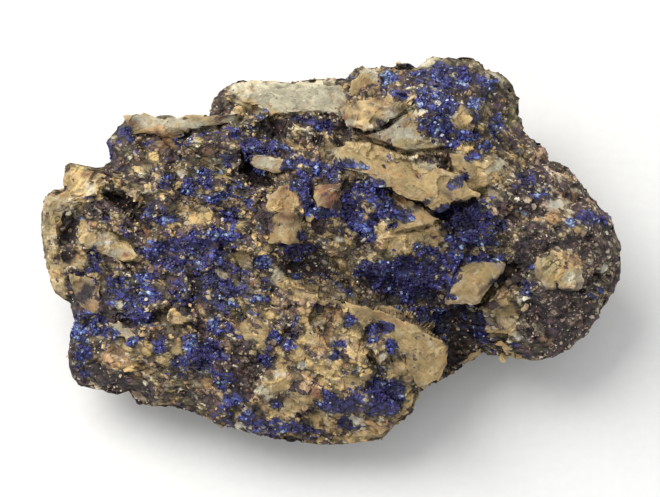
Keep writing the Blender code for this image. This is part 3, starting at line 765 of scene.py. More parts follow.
    "plainHost": (0.6, 0.3), "plainCalm": 0.65, "paintRunsDown": 5.0,
    # how each kind of relief shows: what stands out is rubbed lighter, low places, cracks and pits darkened
    # with painted shade
    "wear": {"push": 0.5, "fine": 2.0, "cracks": -2.0, "hidden": -0.35},
    "grid": {
        "face": (300, 192), "edgeRows": 24, "undersideRows": 44, "base": (75, 48), "corner": 35.0,
    },
}


# Reach, height and edge width of the rim at each bearing
def rimValues(bearing):
    corners = np.array(stone["outline"])
    turns = np.arctan2(corners[:, 1], corners[:, 0])
    reach = np.interp(bearing, turns, np.hypot(corners[:, 0], corners[:, 1]), period=2 * math.pi)
    stations = np.array(stone["rim"], float)
    turn = np.radians(stations[:, 0])
    height, width = (np.interp(bearing, turn, stations[:, k], period=2 * math.pi) for k in (1, 2))
    return reach, height, width


# How deep the open cracks cut at each place: full depth along the path, none beyond a few widths
def crackDepth(places, cracks):
    depth = np.zeros(len(places))
    for crack in cracks.values():
        away, _ = pathDistance(places, crack["path"])
        depth += crack["depth"] * ramp(stone["crackReach"] - away / crack["width"])
    return depth


# How deep the breaks and the steep pits lie under the rest of the face
def pitDepth(places):
    depth = crackDepth(places, stone["breaks"])
    for pit in stone["pits"].values():
        away, _ = pathDistance(places, pit["outline"], closed=True)
        signed = np.where(insideOf(places, pit["outline"]), away, -away)
        depth += pit["depth"] * ramp(0.5 + signed / stone["pitSlope"])
    return depth


# Broken edges of thin beds: a saw tooth across each bed's direction, wavering, inside an outline
def bedRelief(places):
    relief = np.zeros(len(places))
    for bed in stone["beds"].values():
        away, _ = pathDistance(places[:, :2], bed["outline"], closed=True)
        held = insideOf(places[:, :2], bed["outline"]) * ramp(away / stone["bedFade"])
        cos, sin = math.cos(math.radians(bed["turn"])), math.sin(math.radians(bed["turn"]))
        across = (places[:, 1] * cos - places[:, 0] * sin) / bed["spacing"]
        across += stone["bedWaver"] * driftNoise(places, *stone["bedNoise"])
        relief += held * bed["height"] * (across % 1.0 - 0.5)
    return relief


# Height of the show face: spot heights blended by distance, then steps, breaks and pits
def faceHeight(places):
    spots = np.array([spot for region in stone["spots"].values() for spot in region], float)
    gap = ((places[:, None, :] - spots[None, :, :2]) ** 2).sum(axis=2)
    weight = 1.0 / (gap + stone["spotSoftness"] ** 2) ** stone["spotFade"]
    height = (weight @ spots[:, 2]) / weight.sum(axis=1)
    for step in stone["steps"].values():
        away, left = pathDistance(places, step["path"])
        signed = np.where(left, away, -away)
        raised = ramp(0.5 + signed / step["width"]) - 0.5
        height += step["rise"] * raised * np.exp(-away / step["reach"])
    return height - pitDepth(places)


# The smooth stone as a surface of bearing and run: level out to the rounded edge, a quarter turn
# over the rim, and in again below to the flat bed. Also says how far inside the rim each place is
def smoothStone(bearing, levelShare, edgeShare, above):
    reach, rim, width = rimValues(bearing)
    inwards = np.minimum(stone["undersideReach"], stone["undersideShare"] * reach)
    width = np.where(above, width, inwards)
    radius = levelShare * (reach - width) + width * np.sin(edgeShare * math.pi / 2)
    places = np.stack([radius * np.cos(bearing), radius * np.sin(bearing)], axis=1)
    edge, _ = pathDistance(places, stone["outline"], closed=True)
    outer = 1.0 - np.clip(edge / width, 0.0, 1.0)
    rounding = np.where(above, np.sqrt(1.0 - outer**2), 1.0 - outer ** stone["undersideCurve"])
    lean = layout["lean"]
    bed = (-stone["bedDepth"] - layout["lift"] - places[:, 1] * math.sin(lean)) / math.cos(lean)
    far = np.where(above, faceHeight(places), bed)
    stood = np.column_stack([places, rim + (far - rim) * rounding])
    return stood, edge


# Rows of the stone's grid: bearing, share of the way over the level part, share of the way over the
# edge, and 1 above the rim or 0 below it
def gridRows(*values):
    return np.column_stack(np.broadcast_arrays(*values))


# The stone's grid from the middle of the face to the middle of the base: the face, its rounded
# edge, the underside and the base, with half as many columns after each of the two halvings
def stoneGrid():
    grid = stone["grid"]
    corner = math.radians(grid["corner"])
    bearing, share, faces, ring = discGrid(*grid["face"], corner)
    rows = [gridRows(bearing, share, 0.0, 1.0)]
    faceLists = [faces]
    count = len(bearing)
    turn = bearing[ring][0::2]
    steps = [(step / grid["edgeRows"], 1.0) for step in range(1, grid["edgeRows"] + 1)]
    steps += [(1.0 - step / grid["undersideRows"], 0.0) for step in range(1, grid["undersideRows"])]
    for edgeShare, above in steps:
        rows.append(gridRows(turn, 1.0, edgeShare, above))
        fresh = np.arange(count, count + len(turn))
        faceLists.append((halveRing if len(ring) > len(fresh) else bridgeRings)(ring, fresh))
        count += len(turn)
        ring = fresh
    bearing, share, faces, edge = discGrid(*grid["base"], corner)
    rows.append(gridRows(bearing, share, 0.0, 0.0))
    faceLists.append(halveRing(ring, edge + count))
    faceLists.append(faces[:, ::-1] + count)
    return np.concatenate(rows), faceLists


# What covers the ground: share of azurite grains, share of host grains, lightness of the blue,
# colour of the host rock, and how softly a patch of it fades out
covers = {
    "mixed": (0.22, 0.52, 0.40, (0.55, 0.39, 0.175), 3.5),
    "darkGrain": (0.10, 0.36, 0.25, (0.59, 0.46, 0.345), 3.0),
    "azuriteGrain": (0.40, 0.39, 0.38, (0.52, 0.38, 0.21), 3.0),
    "lobeGrain": (0.05, 0.62, 0.30, (0.57, 0.42, 0.25), 2.0),
    "tanGrain": (0.19, 0.64, 0.45, (0.58, 0.41, 0.175), 2.5),
    "pinkGrain": (0.10, 0.58, 0.30, (0.47, 0.28, 0.20), 2.5),
    "tanGround": (0.09, 0.76, 0.45, (0.545, 0.38, 0.16), 2.0),
    "paleTan": (0.04, 0.88, 0.45, (0.565, 0.515, 0.365), 0.9),
    # white: whitish grains, and a few painted highlights
    "white": (0.02, 0.93, 0.45, (0.61, 0.59, 0.49), 0.6),
    "olive": (0.08, 0.77, 0.45, (0.42, 0.34, 0.16), 0.9),
    "orange": (0.08, 0.80, 0.45, (0.58, 0.34, 0.15), 1.0),
    "tan": (0.07, 0.84, 0.45, (0.565, 0.40, 0.175), 0.9),
    "rimTan": (0.07, 0.82, 0.45, (0.47, 0.35, 0.165), 1.2),
    "rust": (0.06, 0.84, 0.45, (0.25, 0.10, 0.05), 0.7),
    # brown: brown rock, and in places painted shade in a recess and on a wall turned away from the light
    "brown": (0.12, 0.50, 0.25, (0.18, 0.105, 0.065), 1.2),
    # black: mostly painted shade in cracks, pits and holes and painted shadow under raised edges, partly
    # dark rock
    "black": (0.10, 0.10, 0.10, (0.10, 0.07, 0.05), 0.7),
    "azurite": (0.68, 0.44, 0.52, (0.46, 0.38, 0.24), 1.2),
    "azuriteField": (0.56, 0.34, 0.40, (0.52, 0.45, 0.30), 2.2),
    # azurite among pale grains; the pale stands partly for painted glints
    "azuriteClear": (0.72, 0.66, 0.66, (0.68, 0.66, 0.60), 1.1),
    "azuriteDeep": (0.99, 0.14, 0.38, (0.33, 0.26, 0.16), 1.3),
    # light blue azurite, partly painted glints where crystals catch the light
    "azuriteLightAndGlints": (0.82, 0.40, 0.92, (0.54, 0.50, 0.42), 0.7),
}

# Patches of each cover over the face, laid in this order: across, up, half widths, and the turn
# in degrees where there is one
paintLayers = [("darkGrain", [
    (35.4, 0, 11.2, 16.3), (-15.5, -18.3, 5.9, 5.6), (-31.4, -21.4, 6.2, 1.9, -12), (-38.3, -16.3, 4, 6.2),
    (26.1, 23.3, 3.1, 7, -20), (13.7, -5.4, 10.6, 6.5, -20), (-5, -2.3, 6.2, 2.5, -5),
    (-5, 18.6, 6.5, 2.2, -5),
]), ("azuriteGrain", [
    (18.3, 23.3, 9.3, 6.2, -5), (-20.5, -2.3, 9.6, 7, -20), (13.7, -3.9, 11.2, 5.6, -18),
    (-32.9, -7.8, 7, 5.9), (-12.7, 15.5, 7.4, 3.1, -20), (4.3, 5.4, 7, 5.9, -20), (22.2, 4.3, 6.2, 4),
    (-5, 12.4, 4, 2.5), (9, -23, 9.3, 3.7, 10), (-11.2, -27.2, 9.3, 1.6, -5), (21.4, -11.6, 4, 2.5),
    (-18.2, -19.4, 4.7, 3.7),
]), ("tanGrain", [
    (-19.7, 5.9, 6.8, 4.7), (-14.6, -11.6, 5.3, 4.7, -15), (-25.9, -13.2, 5.3, 4.7, -10),
    (-23.6, -21, 9.3, 2.5, -20), (-14.3, 20.2, 4.7, 2.2, -30), (-23.6, 15.8, 6.5, 2.8, -10),
    (0.5, 1.6, 3.4, 4), (0.5, -17.1, 9.3, 4.3), (-34.5, 0, 5.3, 2.5, -25), (2.8, -1.9, 3.4, 3.1),
    (24.5, 20.2, 2.8, 5.3, 10), (27.3, 3.9, 2.2, 4.7), (26.1, 13.2, 5.6, 3.7, 25),
    (-30.6, 14, 4.7, 2.2, -10), (-8.1, 2.3, 5.3, 4), (20.6, 20.2, 2.5, 5.3), (-5, -23.3, 7.8, 4.7),
    (26.8, -10.1, 4, 5, 10),
]), ("pinkGrain", [
    (35.4, 10.1, 6.8, 4, -38), (-5, -7.8, 3.4, 3.4), (-19.7, -21.4, 2.2, 1.9),
]), ("lobeGrain", [
    (34.8, 5.6, 2.6, 1.4), (31, 1.1, 3.1, 1.6), (26.1, -11.2, 4, 2.3, -20), (42.5, -1.9, 1.2, 3.7),
    (41.3, -7.8, 2.3, 1.6, 30), (37.7, 11.2, 2.8, 1.4, -38), (34.8, -2.5, 5, 3.4), (30.7, -5.4, 2.2, 1.9),
]), ("tanGround", [
    (11.3, 14, 12.4, 4.7, -12), (10.6, 20.5, 7.1, 2.8, 5), (11.3, 2.2, 7.1, 3.7, -8),
    (11.3, -14.7, 8.1, 5.3, -30), (-1.1, -11.6, 4.7, 7.1), (-5, -22, 6.5, 4), (-6.5, 23.6, 9.9, 3.4),
    (26.5, 12.1, 5, 2.3, 32), (35.1, -3.4, 3.4, 2.9), (26.1, -9, 2.8, 4.7, 10), (6.2, -27.6, 6.5, 1.9, 12),
    (-0.3, -27.2, 3.1, 2.2), (-39.4, 9.6, 3.7, 3.1, -20), (-43.5, 2.3, 1.9, 6.5), (-42.2, -5.9, 1.9, 2.8),
    (-8.1, 5.4, 3.4, 4.7), (-12, -13.2, 2.5, 2.8), (-25.1, -10.9, 2.8, 2.2), (-5, -5.4, 4, 1.6),
    (2.8, -1.9, 2.5, 2.2), (-19.7, 5.4, 3.4, 1.6), (-14.3, 4.3, 3.4, 1.6), (-25.1, 19.7, 7.4, 1.2),
    (-31.4, -16.3, 4.7, 2.2, -10), (11.8, -22.5, 1.4, 4.3, -15), (20.2, 20.5, 2.2, 3.4),
]), ("azuriteField", [
    (-20.5, -1.9, 4.7, 3.4, -10), (-17.1, -6.2, 3.1, 2.5, -25), (-23.9, -1.2, 2.2, 1.9),
    (-32.9, -6.2, 4, 2.2), (21.4, 4.3, 4.3, 2.5, -8), (16.8, -1.9, 4, 2.2, -10), (8.2, -23, 3.4, 2.8, 10),
    (16.1, 20.5, 2.5, 4.3), (16.8, 25.6, 3.1, 1.6), (4.7, 4.7, 2.8, 2.5, -20), (5.6, 9.3, 2.8, 1.4, 25),
    (2, -27.2, 2.5, 1.1, 5), (-7.3, -27.6, 3.7, 0.9, -4), (22.2, -11.2, 3.1, 1.6, -10),
    (2.8, -23.6, 3.4, 1.2), (-12.7, -6.4, 2.8, 0.9, -22), (-14.9, -13, 2, 1.2, -20),
    (-18.2, -19.6, 2.3, 1.9), (-10.9, -27.2, 2.5, 0.9), (-36, -11.8, 2.8, 1.9),
]), ("azuriteDeep", [
    (10.6, -4, 5.9, 3.6, -8), (14.4, -10.6, 2.5, 1.4, -35), (21.4, 1.2, 3.1, 0.9, -3),
    (22.7, -13.7, 2.2, 1.2), (2, 6.7, 1.4, 1.2), (-0.3, -23.6, 2.8, 1.6), (19.1, 5.9, 3.4, 1.6, -15),
    (-4.7, 0, 2.9, 0.9, -5), (-3.4, -27.9, 3.7, 0.8, -3), (-19.7, -15.8, 2.5, 1.4),
    (-29.8, -10.4, 1.9, 0.9), (-37.6, -3.1, 2.2, 0.8),
]), ("paleTan", [
    (9.8, 18.6, 5, 2, -22), (2, 14.6, 1.6, 0.8), (10.2, 13.3, 2.8, 0.9, -20), (14.4, 12.1, 2.5, 0.8, -22),
    (2, 16, 2.8, 1.2), (11.3, 19.9, 2.5, 1.2, -20), (9, 18.5, 2.5, 1.1, -15), (13.3, 21.6, 1.4, 0.9),
    (-6.5, 24.1, 9.3, 2.6), (-5, 22.7, 6.2, 1.9), (-15.5, 20.5, 2.2, 1.4, -35), (-22, 19.2, 3.4, 0.8),
    (-26.7, 20, 5.3, 0.9), (-30.6, 20.6, 1.6, 0.6), (-33.8, 17.5, 0.8, 0.6), (-43, 7.4, 1.9, 1.1),
    (-37.9, 10.2, 2.2, 1.1), (11.8, 24.7, 1.4, 0.5), (11.6, 25.5, 1.2, 0.5), (14.4, 28.6, 1.6, 0.8),
    (5.3, 27.8, 2.5, 0.8), (8.2, 21.4, 2.5, 1.6, -20), (2.8, 19.4, 1.4, 0.6, 20),
    (25.3, 13.2, 3.1, 1.1, 10), (-10.6, 13.5, 2.2, 0.8, 10), (-8.8, -3.9, 1.2, 1.2), (37.2, -4.2, 1.4, 0.9),
    (26.8, -11.6, 1.9, 1.2), (-34.5, 1.9, 1.7, 0.8, -10), (-34.1, -0.3, 2.8, 0.9), (-31.7, -4.7, 0.9, 0.5),
    (-32.9, -8.4, 0.9, 0.9), (-32.6, -12.3, 2, 0.6, -22), (24.2, 24.5, 1.6, 0.3), (-36.8, 0.6, 1.9, 0.8),
    (15.2, 13, 3.1, 0.6, 15), (13.2, 9.9, 1.2, 0.6), (-43, 5.4, 1.2, 0.9), (-10.9, -21.7, 1.6, 0.8),
    (-35.2, 9.3, 1.2, 0.6), (-44.1, 3.4, 0.8, 2.8), (16, 29.2, 2.8, 0.6), (26.1, 26.5, 1.9, 0.8, -45),
    (-7.3, -4.8, 2.5, 0.8), (-31.7, -12.7, 1.6, 0.6, -15), (29.2, -8.1, 0.6, 0.5), (34.6, -10.4, 0.3, 0.3),
    (35.1, -11, 0.3, 0.3), (38.2, -11.3, 0.5, 0.3), (32.4, -9.6, 0.5, 0.6), (30.4, -4, 0.6, 0.6),
    (29, -3.4, 0.6, 0.5), (31.7, 2.2, 0.8, 0.6), (36.3, 1.6, 0.8, 0.6), (38.8, 3.4, 0.5, 0.5),
    (43.1, 0.9, 0.5, 0.6), (41.3, -2.8, 0.8, 0.6), (42.8, -3.1, 0.5, 0.5), (40, -7.4, 0.6, 0.3),
    (41.3, -8.1, 0.6, 0.3), (29.2, -1.6, 0.5, 0.5), (34.8, 0.3, 0.8, 0.6), (36.3, -0.3, 0.6, 0.5),
    (26.1, -13, 0.9, 0.8), (24.5, -12.4, 0.8, 0.6), (33.5, -12.4, 0.5, 0.3), (36.9, -13.2, 0.5, 0.3),
    (39.3, -9.6, 0.5, 0.3), (41.6, -5.1, 0.6, 0.5), (33.8, 3.4, 0.5, 0.5), (32.7, 4.3, 0.5, 0.5),
    (35.4, 7, 0.8, 0.6), (37.2, 5.9, 0.6, 0.5), (33.5, 12.1, 0.9, 0.6), (35.1, 11.2, 0.6, 0.6),
    (37.7, 9.3, 0.6, 0.5), (39.3, 6.2, 0.6, 0.5),
# white patches: whitish grains, a few of them painted highlights and glints
]), ("white", [
    (12.4, 18, 0.9, 0.6), (0.5, 15.5, 0.8, 0.5), (13.7, 17.4, 0.8, 0.5), (-9.9, 11.5, 1.1, 0.3),
    (41.1, 2.5, 0.8, 0.9), (34, 7, 1.1, 0.8), (20.3, -0.5, 0.5, 0.3), (-4.7, -18, 0.6, 0.5),
    (-1.4, -18.9, 0.6, 0.6), (7.8, -16.5, 0.6, 0.6), (3.7, -26.1, 1.2, 0.8), (-9.9, -23.1, 0.8, 0.3),
    (-24.8, -21.1, 0.8, 0.3), (-35.2, 1.1, 1.9, 0.5), (-35.4, 9.5, 0.6, 0.3), (-27.2, 6.5, 0.3, 0.3),
    (-17.7, -3.4, 0.3, 0.8), (-13.5, -25, 0.8, 0.6), (16.5, 23, 0.9, 0.5), (19.6, 22.8, 0.6, 0.6),
    (36.6, 4.5, 0.6, 0.5), (42.1, -2.5, 0.6, 0.6), (30.7, -8.1, 0.6, 0.6), (29.2, -8.4, 0.6, 0.5),
    (32.4, -9.6, 0.5, 0.6), (34.3, -10.6, 0.5, 0.5), (38.2, -9.5, 0.5, 0.5), (-8.1, -19.4, 0.8, 0.8),
    (-14.3, -27.2, 0.6, 0.5), (30.7, -13.7, 1.1, 0.6), (28.9, -13.3, 0.8, 0.6), (-23.6, 11.8, 0.6, 0.6),
    (0.9, 1.6, 0.8, 0.5), (2, -10.9, 0.5, 0.3), (-41.3, -5, 0.3, 0.6), (-39.1, -8.2, 0.8, 0.6),
]), ("olive", [
    (11.8, 16.6, 1.9, 0.6), (14.9, 16.9, 1.6, 0.6), (16.8, 16.3, 1.4, 0.5), (11.3, 22, 1.2, 0.5),
    (25.8, 7, 0.8, 1.4), (0.6, 4.3, 1.1, 1.7), (-18, 13.2, 1.6, 1.2), (-13.5, 18.9, 0.9, 0.8),
    (-13.5, -2.3, 0.9, 1.2), (-3.1, 9.3, 0.6, 1.2), (3.6, 9, 0.5, 1.2), (6.2, -0.6, 2, 0.9, -35),
    (24.5, 0, 2.6, 0.5, -8), (21, -11.6, 0.8, 0.5), (-39.4, 12.7, 1.1, 0.9), (-38.3, 1.9, 1.4, 1.9),
    (-36.5, 5.9, 1.9, 1.4), (-20.5, 16.3, 1.9, 0.9), (24.2, 22.3, 1.1, 1.2), (-31.4, 14.9, 1.4, 0.9),
    (-29, 12.7, 1.1, 0.9), (-33.5, 6.2, 0.8, 0.9), (-29.8, 9.9, 1.6, 0.6, -20), (-32.1, -14.9, 1.4, 0.8),
    (9, -0.8, 1.6, 0.6), (15.2, -15.8, 2.2, 1.2), (27.9, 21.4, 0.8, 3.1, -8), (-14.3, -1.2, 1.4, 0.8),
    (6.2, 26.1, 0.9, 0.8), (-24.8, -16.8, 1.2, 1.1), (-33.2, 19.9, 1.2, 0.8), (24.5, 9, 3.4, 0.8, -8),
    (33.1, -3.3, 0.9, 1.4), (2.8, -1.2, 1.1, 1.2), (-39.9, -6.2, 0.5, 2.8), (-37.2, -9, 2, 0.5),
    (-12.4, -14.7, 1.6, 0.9),
]), ("orange", [
    (3.1, 20.2, 1.2, 0.6, 20), (5.6, 22.3, 1.1, 0.5, -10), (8.2, 22.7, 0.9, 0.5), (9.5, 13.2, 1.2, 0.6),
    (7.4, 11.6, 1.2, 0.6), (15.2, 7.8, 3.1, 1.2), (18.3, 8.5, 2.3, 0.9), (-2.2, 14.9, 1.4, 0.8),
    (12.7, 5.1, 0.6, 0.6), (-6.8, 9.3, 1.6, 0.9), (-9.3, 8.2, 1.2, 0.6), (-21, 14.9, 1.4, 0.6),
    (-26.4, 17.1, 2.5, 1.4, -15), (-39.9, -1.4, 1.9, 1.4), (-39.1, -5.9, 0.8, 1.9), (-35.9, -5.9, 0.6, 1.9),
    (-37.6, -8.7, 1.7, 0.6), (-32, -0.9, 0.9, 0.5), (-29.8, 2.9, 1.2, 0.8), (-0.3, -9.8, 1.9, 2.2),
    (-1.6, -14, 1.9, 1.6), (11, -11.2, 3.7, 0.9, -26), (15.5, -14.7, 1.6, 0.9), (-3.7, -21.4, 1.6, 1.4),
    (-4.2, -19.6, 1.4, 0.9), (-0.3, -27.9, 1.2, 1.4), (5.9, -26.5, 1.1, 0.6), (8.4, -27.3, 1.4, 0.9),
    (-10.6, -24.2, 0.8, 0.8), (-19.7, -9.3, 1.2, 1.7), (-19.7, -21.1, 1.4, 1.2), (-25.9, -21.1, 1.7, 0.8),
    (-29.8, -19.4, 1.6, 0.8), (-34.1, -16.9, 2.6, 1.9), (-27.3, -12.6, 1.1, 1.2), (-23.3, -14, 1.1, 1.4),
    (33.5, 5, 2.2, 0.8), (36.9, -1.6, 1.7, 0.9), (21.4, 23.7, 1.9, 0.5, -35), (27.6, 4.3, 0.8, 0.8),
    (-13.8, -12, 1.1, 1.1), (21, -5.1, 1.6, 1.1), (26.1, -6.5, 1.6, 0.9), (25.3, -9, 1.2, 0.9),
    (-5.7, 7.8, 0.9, 0.9), (-12, -12.4, 0.9, 0.9), (2.8, -29.5, 3.4, 0.6), (12.1, -14.7, 1.6, 0.9),
    (5.9, -14.7, 1.2, 0.8),
]), ("darkGrain", [
    (35.4, -10.6, 5.9, 4.3, 10), (32.3, 1.1, 2.2, 2.2), (40.4, -0.3, 1.9, 1.9), (31.2, 10.6, 2.8, 2.8),
    (40.4, 3.9, 2.5, 2.2),
]), ("tan", [
    (19.6, 14, 1.6, 1.2, 20), (21.7, 12.9, 2, 1.1, 30), (23.1, 11.3, 0.9, 1.6, 30),
    (12.4, 6.8, 2.2, 0.6, 30), (15.2, 4.3, 2, 0.9), (14.4, 5.7, 1.6, 0.6, 20), (5.4, 7.4, 1.1, 0.9),
    (6.5, 6.7, 1.1, 0.6), (5.3, 5, 0.6, 0.9), (8.2, 3.9, 0.9, 0.9), (2.8, 11.2, 2.3, 0.6),
    (-13.5, 22, 1.7, 1.2), (-15.1, 15.8, 0.9, 0.6), (-17.1, 11.3, 1.6, 0.5), (-11.5, 9.3, 1.6, 0.6),
    (-7.3, 6.5, 2.3, 1.4), (-8.8, 2.8, 1.6, 1.1), (-21, 4.3, 1.2, 0.9), (-13.2, 4.3, 1.2, 0.8),
    (-14.3, 2.9, 1.4, 0.6), (-12, 2.2, 1.2, 0.8), (-4.5, 12.7, 0.8, 0.6), (-1.1, 2.3, 1.2, 0.5),
    (12.1, 1.6, 4, 2), (15.7, 0.6, 0.8, 1.7), (22.2, -4.8, 4, 2.6, 20), (13.7, -14.7, 4.2, 3.4, -20),
    (9.3, -9.6, 3.1, 0.8, -22), (-12, -12.9, 2.2, 2.2), (-7.8, -17.5, 1.2, 1.1), (-4.2, -13.2, 1.9, 1.6),
    (-7.1, -25.1, 1.9, 1.2), (-7.9, -21.1, 1.9, 1.2), (-5, -23.4, 2.8, 0.9), (2.8, -19.9, 2.2, 0.9),
    (2.8, -13.2, 1.4, 0.9), (4.3, -15.8, 2.8, 1.4, -10), (-0.3, -18.6, 2.2, 1.4),
    (9.8, -18.9, 2.5, 1.2, 10), (-1.6, -27, 2, 1.6), (-2.2, 18, 2.2, 0.6, 5), (-5.3, 18.5, 1.4, 0.6),
    (-0.6, 16.8, 1.6, 0.5), (-23.9, -10.9, 1.4, 1.6), (-26.4, -17.5, 1.2, 0.8), (-23.9, -15.4, 0.9, 0.9),
    (-28.2, -1.7, 0.9, 0.6), (-37.6, -14.3, 1.2, 1.1), (-33.5, -3.7, 0.6, 0.5), (26.8, -10.6, 2.2, 2.2),
    (25.6, -13.2, 1.9, 0.9), (34.8, -1.1, 1.9, 1.4), (38.3, 3.1, 1.2, 0.8), (36.2, 2.2, 1.1, 0.8),
    (22.7, 18.9, 1.4, 0.8, -30), (20.2, 20.2, 1.4, 1.4), (24.5, 14, 1.2, 0.8), (24.1, 6.2, 1.1, 0.5),
    (-23.3, 2.6, 0.9, 0.8), (-25.9, 8.7, 0.9, 0.6), (-6.2, -5.1, 2.2, 0.9), (-13.8, -0.8, 1.2, 1.1),
    (-17.5, -23.7, 0.8, 0.8), (11.3, -23.6, 0.9, 3.1, -15), (4.3, -28.9, 3.7, 0.8), (2.2, -20.8, 2.2, 1.1),
    (-34.5, 11.2, 2.2, 0.6, -25), (-32.1, 9.3, 2.2, 0.6, -25), (-5, -7.1, 1.9, 0.8),
    (-14.6, -8.2, 0.8, 0.8), (6.7, -7.8, 3.4, 0.6, -15), (-5, -15.8, 1.2, 0.9), (1.2, -17.4, 1.2, 0.8),
    (13.7, -19.4, 2.2, 1.2, 10), (14.4, 9.9, 5.6, 2.6, -22), (9.8, 12.7, 3.7, 1.7, -20),
    (4.3, 25.8, 1.4, 1.4), (5.3, 21.7, 3.1, 2, -10), (3.1, 22.8, 1.4, 1.4, -30), (4.7, 15.2, 4.3, 1.7, -5),
    (19.9, 9.9, 2.5, 1.6, -35), (-38.3, 10.4, 3.4, 2, -20), (-36, 8.1, 1.9, 1.1, -15),
    (-39.1, -1.9, 1.9, 0.9), (14.3, 2.2, 4.7, 2, -8), (15.8, -0.3, 0.6, 0.9), (11.2, 0.8, 2.2, 1.4),
]), ("rimTan", [
    (-42.1, -5.9, 1.4, 2.5), (-42.8, 0.6, 0.9, 2.5), (-42.8, 5.9, 1.7, 3.1), (-43.3, -0.8, 1.4, 4),
    (-41.9, -5.9, 1.4, 2.8),
]), ("rust", [
    (3.1, 23.3, 0.8, 0.5, -40), (7.1, 23.3, 0.6, 0.3), (1.9, 20.8, 0.5, 0.9), (13.5, 11.5, 0.9, 0.6),
    (9.5, 7.3, 0.8, 0.5), (10.9, 7.9, 0.6, 0.3), (-0.3, 9.3, 2, 1.4), (0.2, 7.3, 1.6, 0.9),
    (-25.9, 16.5, 0.8, 0.8), (-37.9, 11.6, 1.1, 0.3), (-29.2, 2.3, 0.6, 0.5), (-12.3, -5.1, 0.6, 0.8),
    (-3.1, -22.3, 1.1, 0.8), (-29.3, -7.8, 0.8, 0.6), (-32, -0.8, 0.6, 0.5), (4.7, 24.5, 0.8, 0.5, -30),
    (-41.9, 3.6, 0.9, 0.8), (26.1, 24.1, 0.9, 1.6), (-41.3, 2, 0.9, 0.9), (-7.3, 9.8, 0.8, 0.6),
    (-19.7, 15.2, 0.8, 0.5), (33.1, 14, 0.9, 0.6), (37.7, 8.4, 1.2, 0.6, -40), (19.9, -16.5, 0.9, 0.9),
# brown patches: mostly brown rock; the first four are painted shade, on the wedge's lower front wall and in
# the recess over the lifted flake
]), ("brown", [
    (3.1, 18.9, 2, 0.8), (2.5, 18, 1.6, 0.5), (-17.4, 22, 1.6, 1.9), (16, 14.3, 2.5, 0.6, 12),
    (17.8, 13.2, 1.1, 0.6, 30), (-6.2, 17.7, 1.9, 0.9), (-19.7, 15.5, 1.2, 0.8), (-22, 14.9, 1.2, 0.8),
    (-27.9, 16.8, 1.2, 1.2), (-32.6, 16.3, 1.1, 0.9), (-29.8, 14.6, 0.9, 0.9), (-31.4, 19.6, 1.4, 0.8),
    (22.7, 24.1, 1.6, 1.1), (26.1, 22.3, 1.1, 2.2), (22.2, 28.2, 0.9, 1.2), (2, 9.8, 1.9, 0.8),
    (-6.5, 5.1, 1.7, 0.6), (-14.3, -18.3, 0.9, 1.9), (-12.7, -21, 0.8, 1.2), (-6.5, -11.6, 1.9, 2.2),
    (-26.7, -13.2, 0.8, 1.4), (-25.1, -0.9, 0.9, 0.8), (32.3, 2.2, 1.9, 2), (40, -0.8, 0.9, 1.2),
    (19.1, -17.1, 2.2, 1.1, 20), (-3.1, -1.9, 1.6, 1.6), (-10.4, 3.9, 1.1, 1.6),
    (-30.6, -22.2, 1.2, 0.5, -12), (11.3, 26.4, 1.1, 0.6), (5.1, 0.8, 0.9, 0.8), (-14.3, -14.7, 2.2, 0.8),
    (26.8, 5.4, 1.2, 2.2), (-25.5, -23.6, 1.1, 0.5, -10), (20.2, -14.7, 2.2, 0.9),
# black patches: mostly painted shade in cracks, pits and holes, and painted shadow under the lower edges of
# the lifted flake and the knob
]), ("black", [
    (7.9, 19.6, 1.9, 0.5, -30), (19.9, 7.4, 3.4, 0.6, -25), (13.3, 6.7, 3.4, 0.5, 35),
    (-12.3, 11.6, 2.3, 0.9, -42), (-13.8, 15.5, 0.5, 1.2), (-24.8, 14.9, 0.9, 0.9), (-24.8, 7.8, 0.9, 0.8),
    (-32.3, 6.7, 3.4, 1.1, -35), (-40.7, 4, 0.8, 1.7), (-38.2, -6.8, 1.4, 1.9, -8),
    (-5.3, -2.3, 2, 0.6, -3), (8.2, -7.6, 2.2, 0.8), (1.2, 7, 1.2, 0.5), (29.5, -1.1, 1.1, 2.6),
    (24.5, -5.3, 2.2, 0.5, 38), (24.1, 23.7, 2, 0.5), (18.6, -15.8, 0.9, 1.9, 10), (11.3, -16.5, 0.9, 0.6),
    (-8.1, -23, 1.7, 0.3, 35), (-8.8, 4, 2.2, 0.3), (-10.9, 5.4, 1.1, 0.8), (-10.2, 3.3, 0.9, 1.1),
    (-7.6, 19.7, 1.4, 0.6, -15), (-3.6, 19.1, 0.9, 0.3), (1.2, 19.2, 0.8, 0.8), (-5, 16.8, 1.2, 0.3, 10),
    (-13.8, 14.3, 0.6, 1.2, -10), (-10.6, 10.6, 1.2, 0.6, 10), (-20.5, -12.4, 0.9, 1.6),
    (3.1, -10.4, 1.2, 0.3, -10), (-3.7, -25.1, 1.6, 0.3, 20), (-34.1, -20.5, 1.2, 0.3, -12),
    (-30.6, -21.4, 1.2, 0.3, -12), (35.4, -6.4, 3.4, 0.3), (-1.9, 3.4, 1.2, 0.8), (-14.7, -21, 0.9, 1.6),
    (33.1, 0.8, 0.9, 0.6), (-33.2, 14, 1.1, 1.2),
]), ("azurite", [
    (-4.2, 19.9, 1.1, 0.5), (-1.1, 20, 1.1, 0.5), (22.2, 14.7, 1.2, 0.5, 25), (19.6, 10.7, 1.6, 0.6, 30),
    (10.2, 5.7, 2.2, 0.9, -5), (8.7, 6.7, 0.9, 0.8), (11.3, 4.8, 1.2, 0.6), (5.1, 9.8, 2.3, 1.1, 22),
    (6.7, 8.4, 1.9, 0.9, 25), (7.8, 7.3, 1.1, 0.8), (3.7, 4.3, 1.6, 1.6), (6.7, 5.3, 0.8, 0.8),
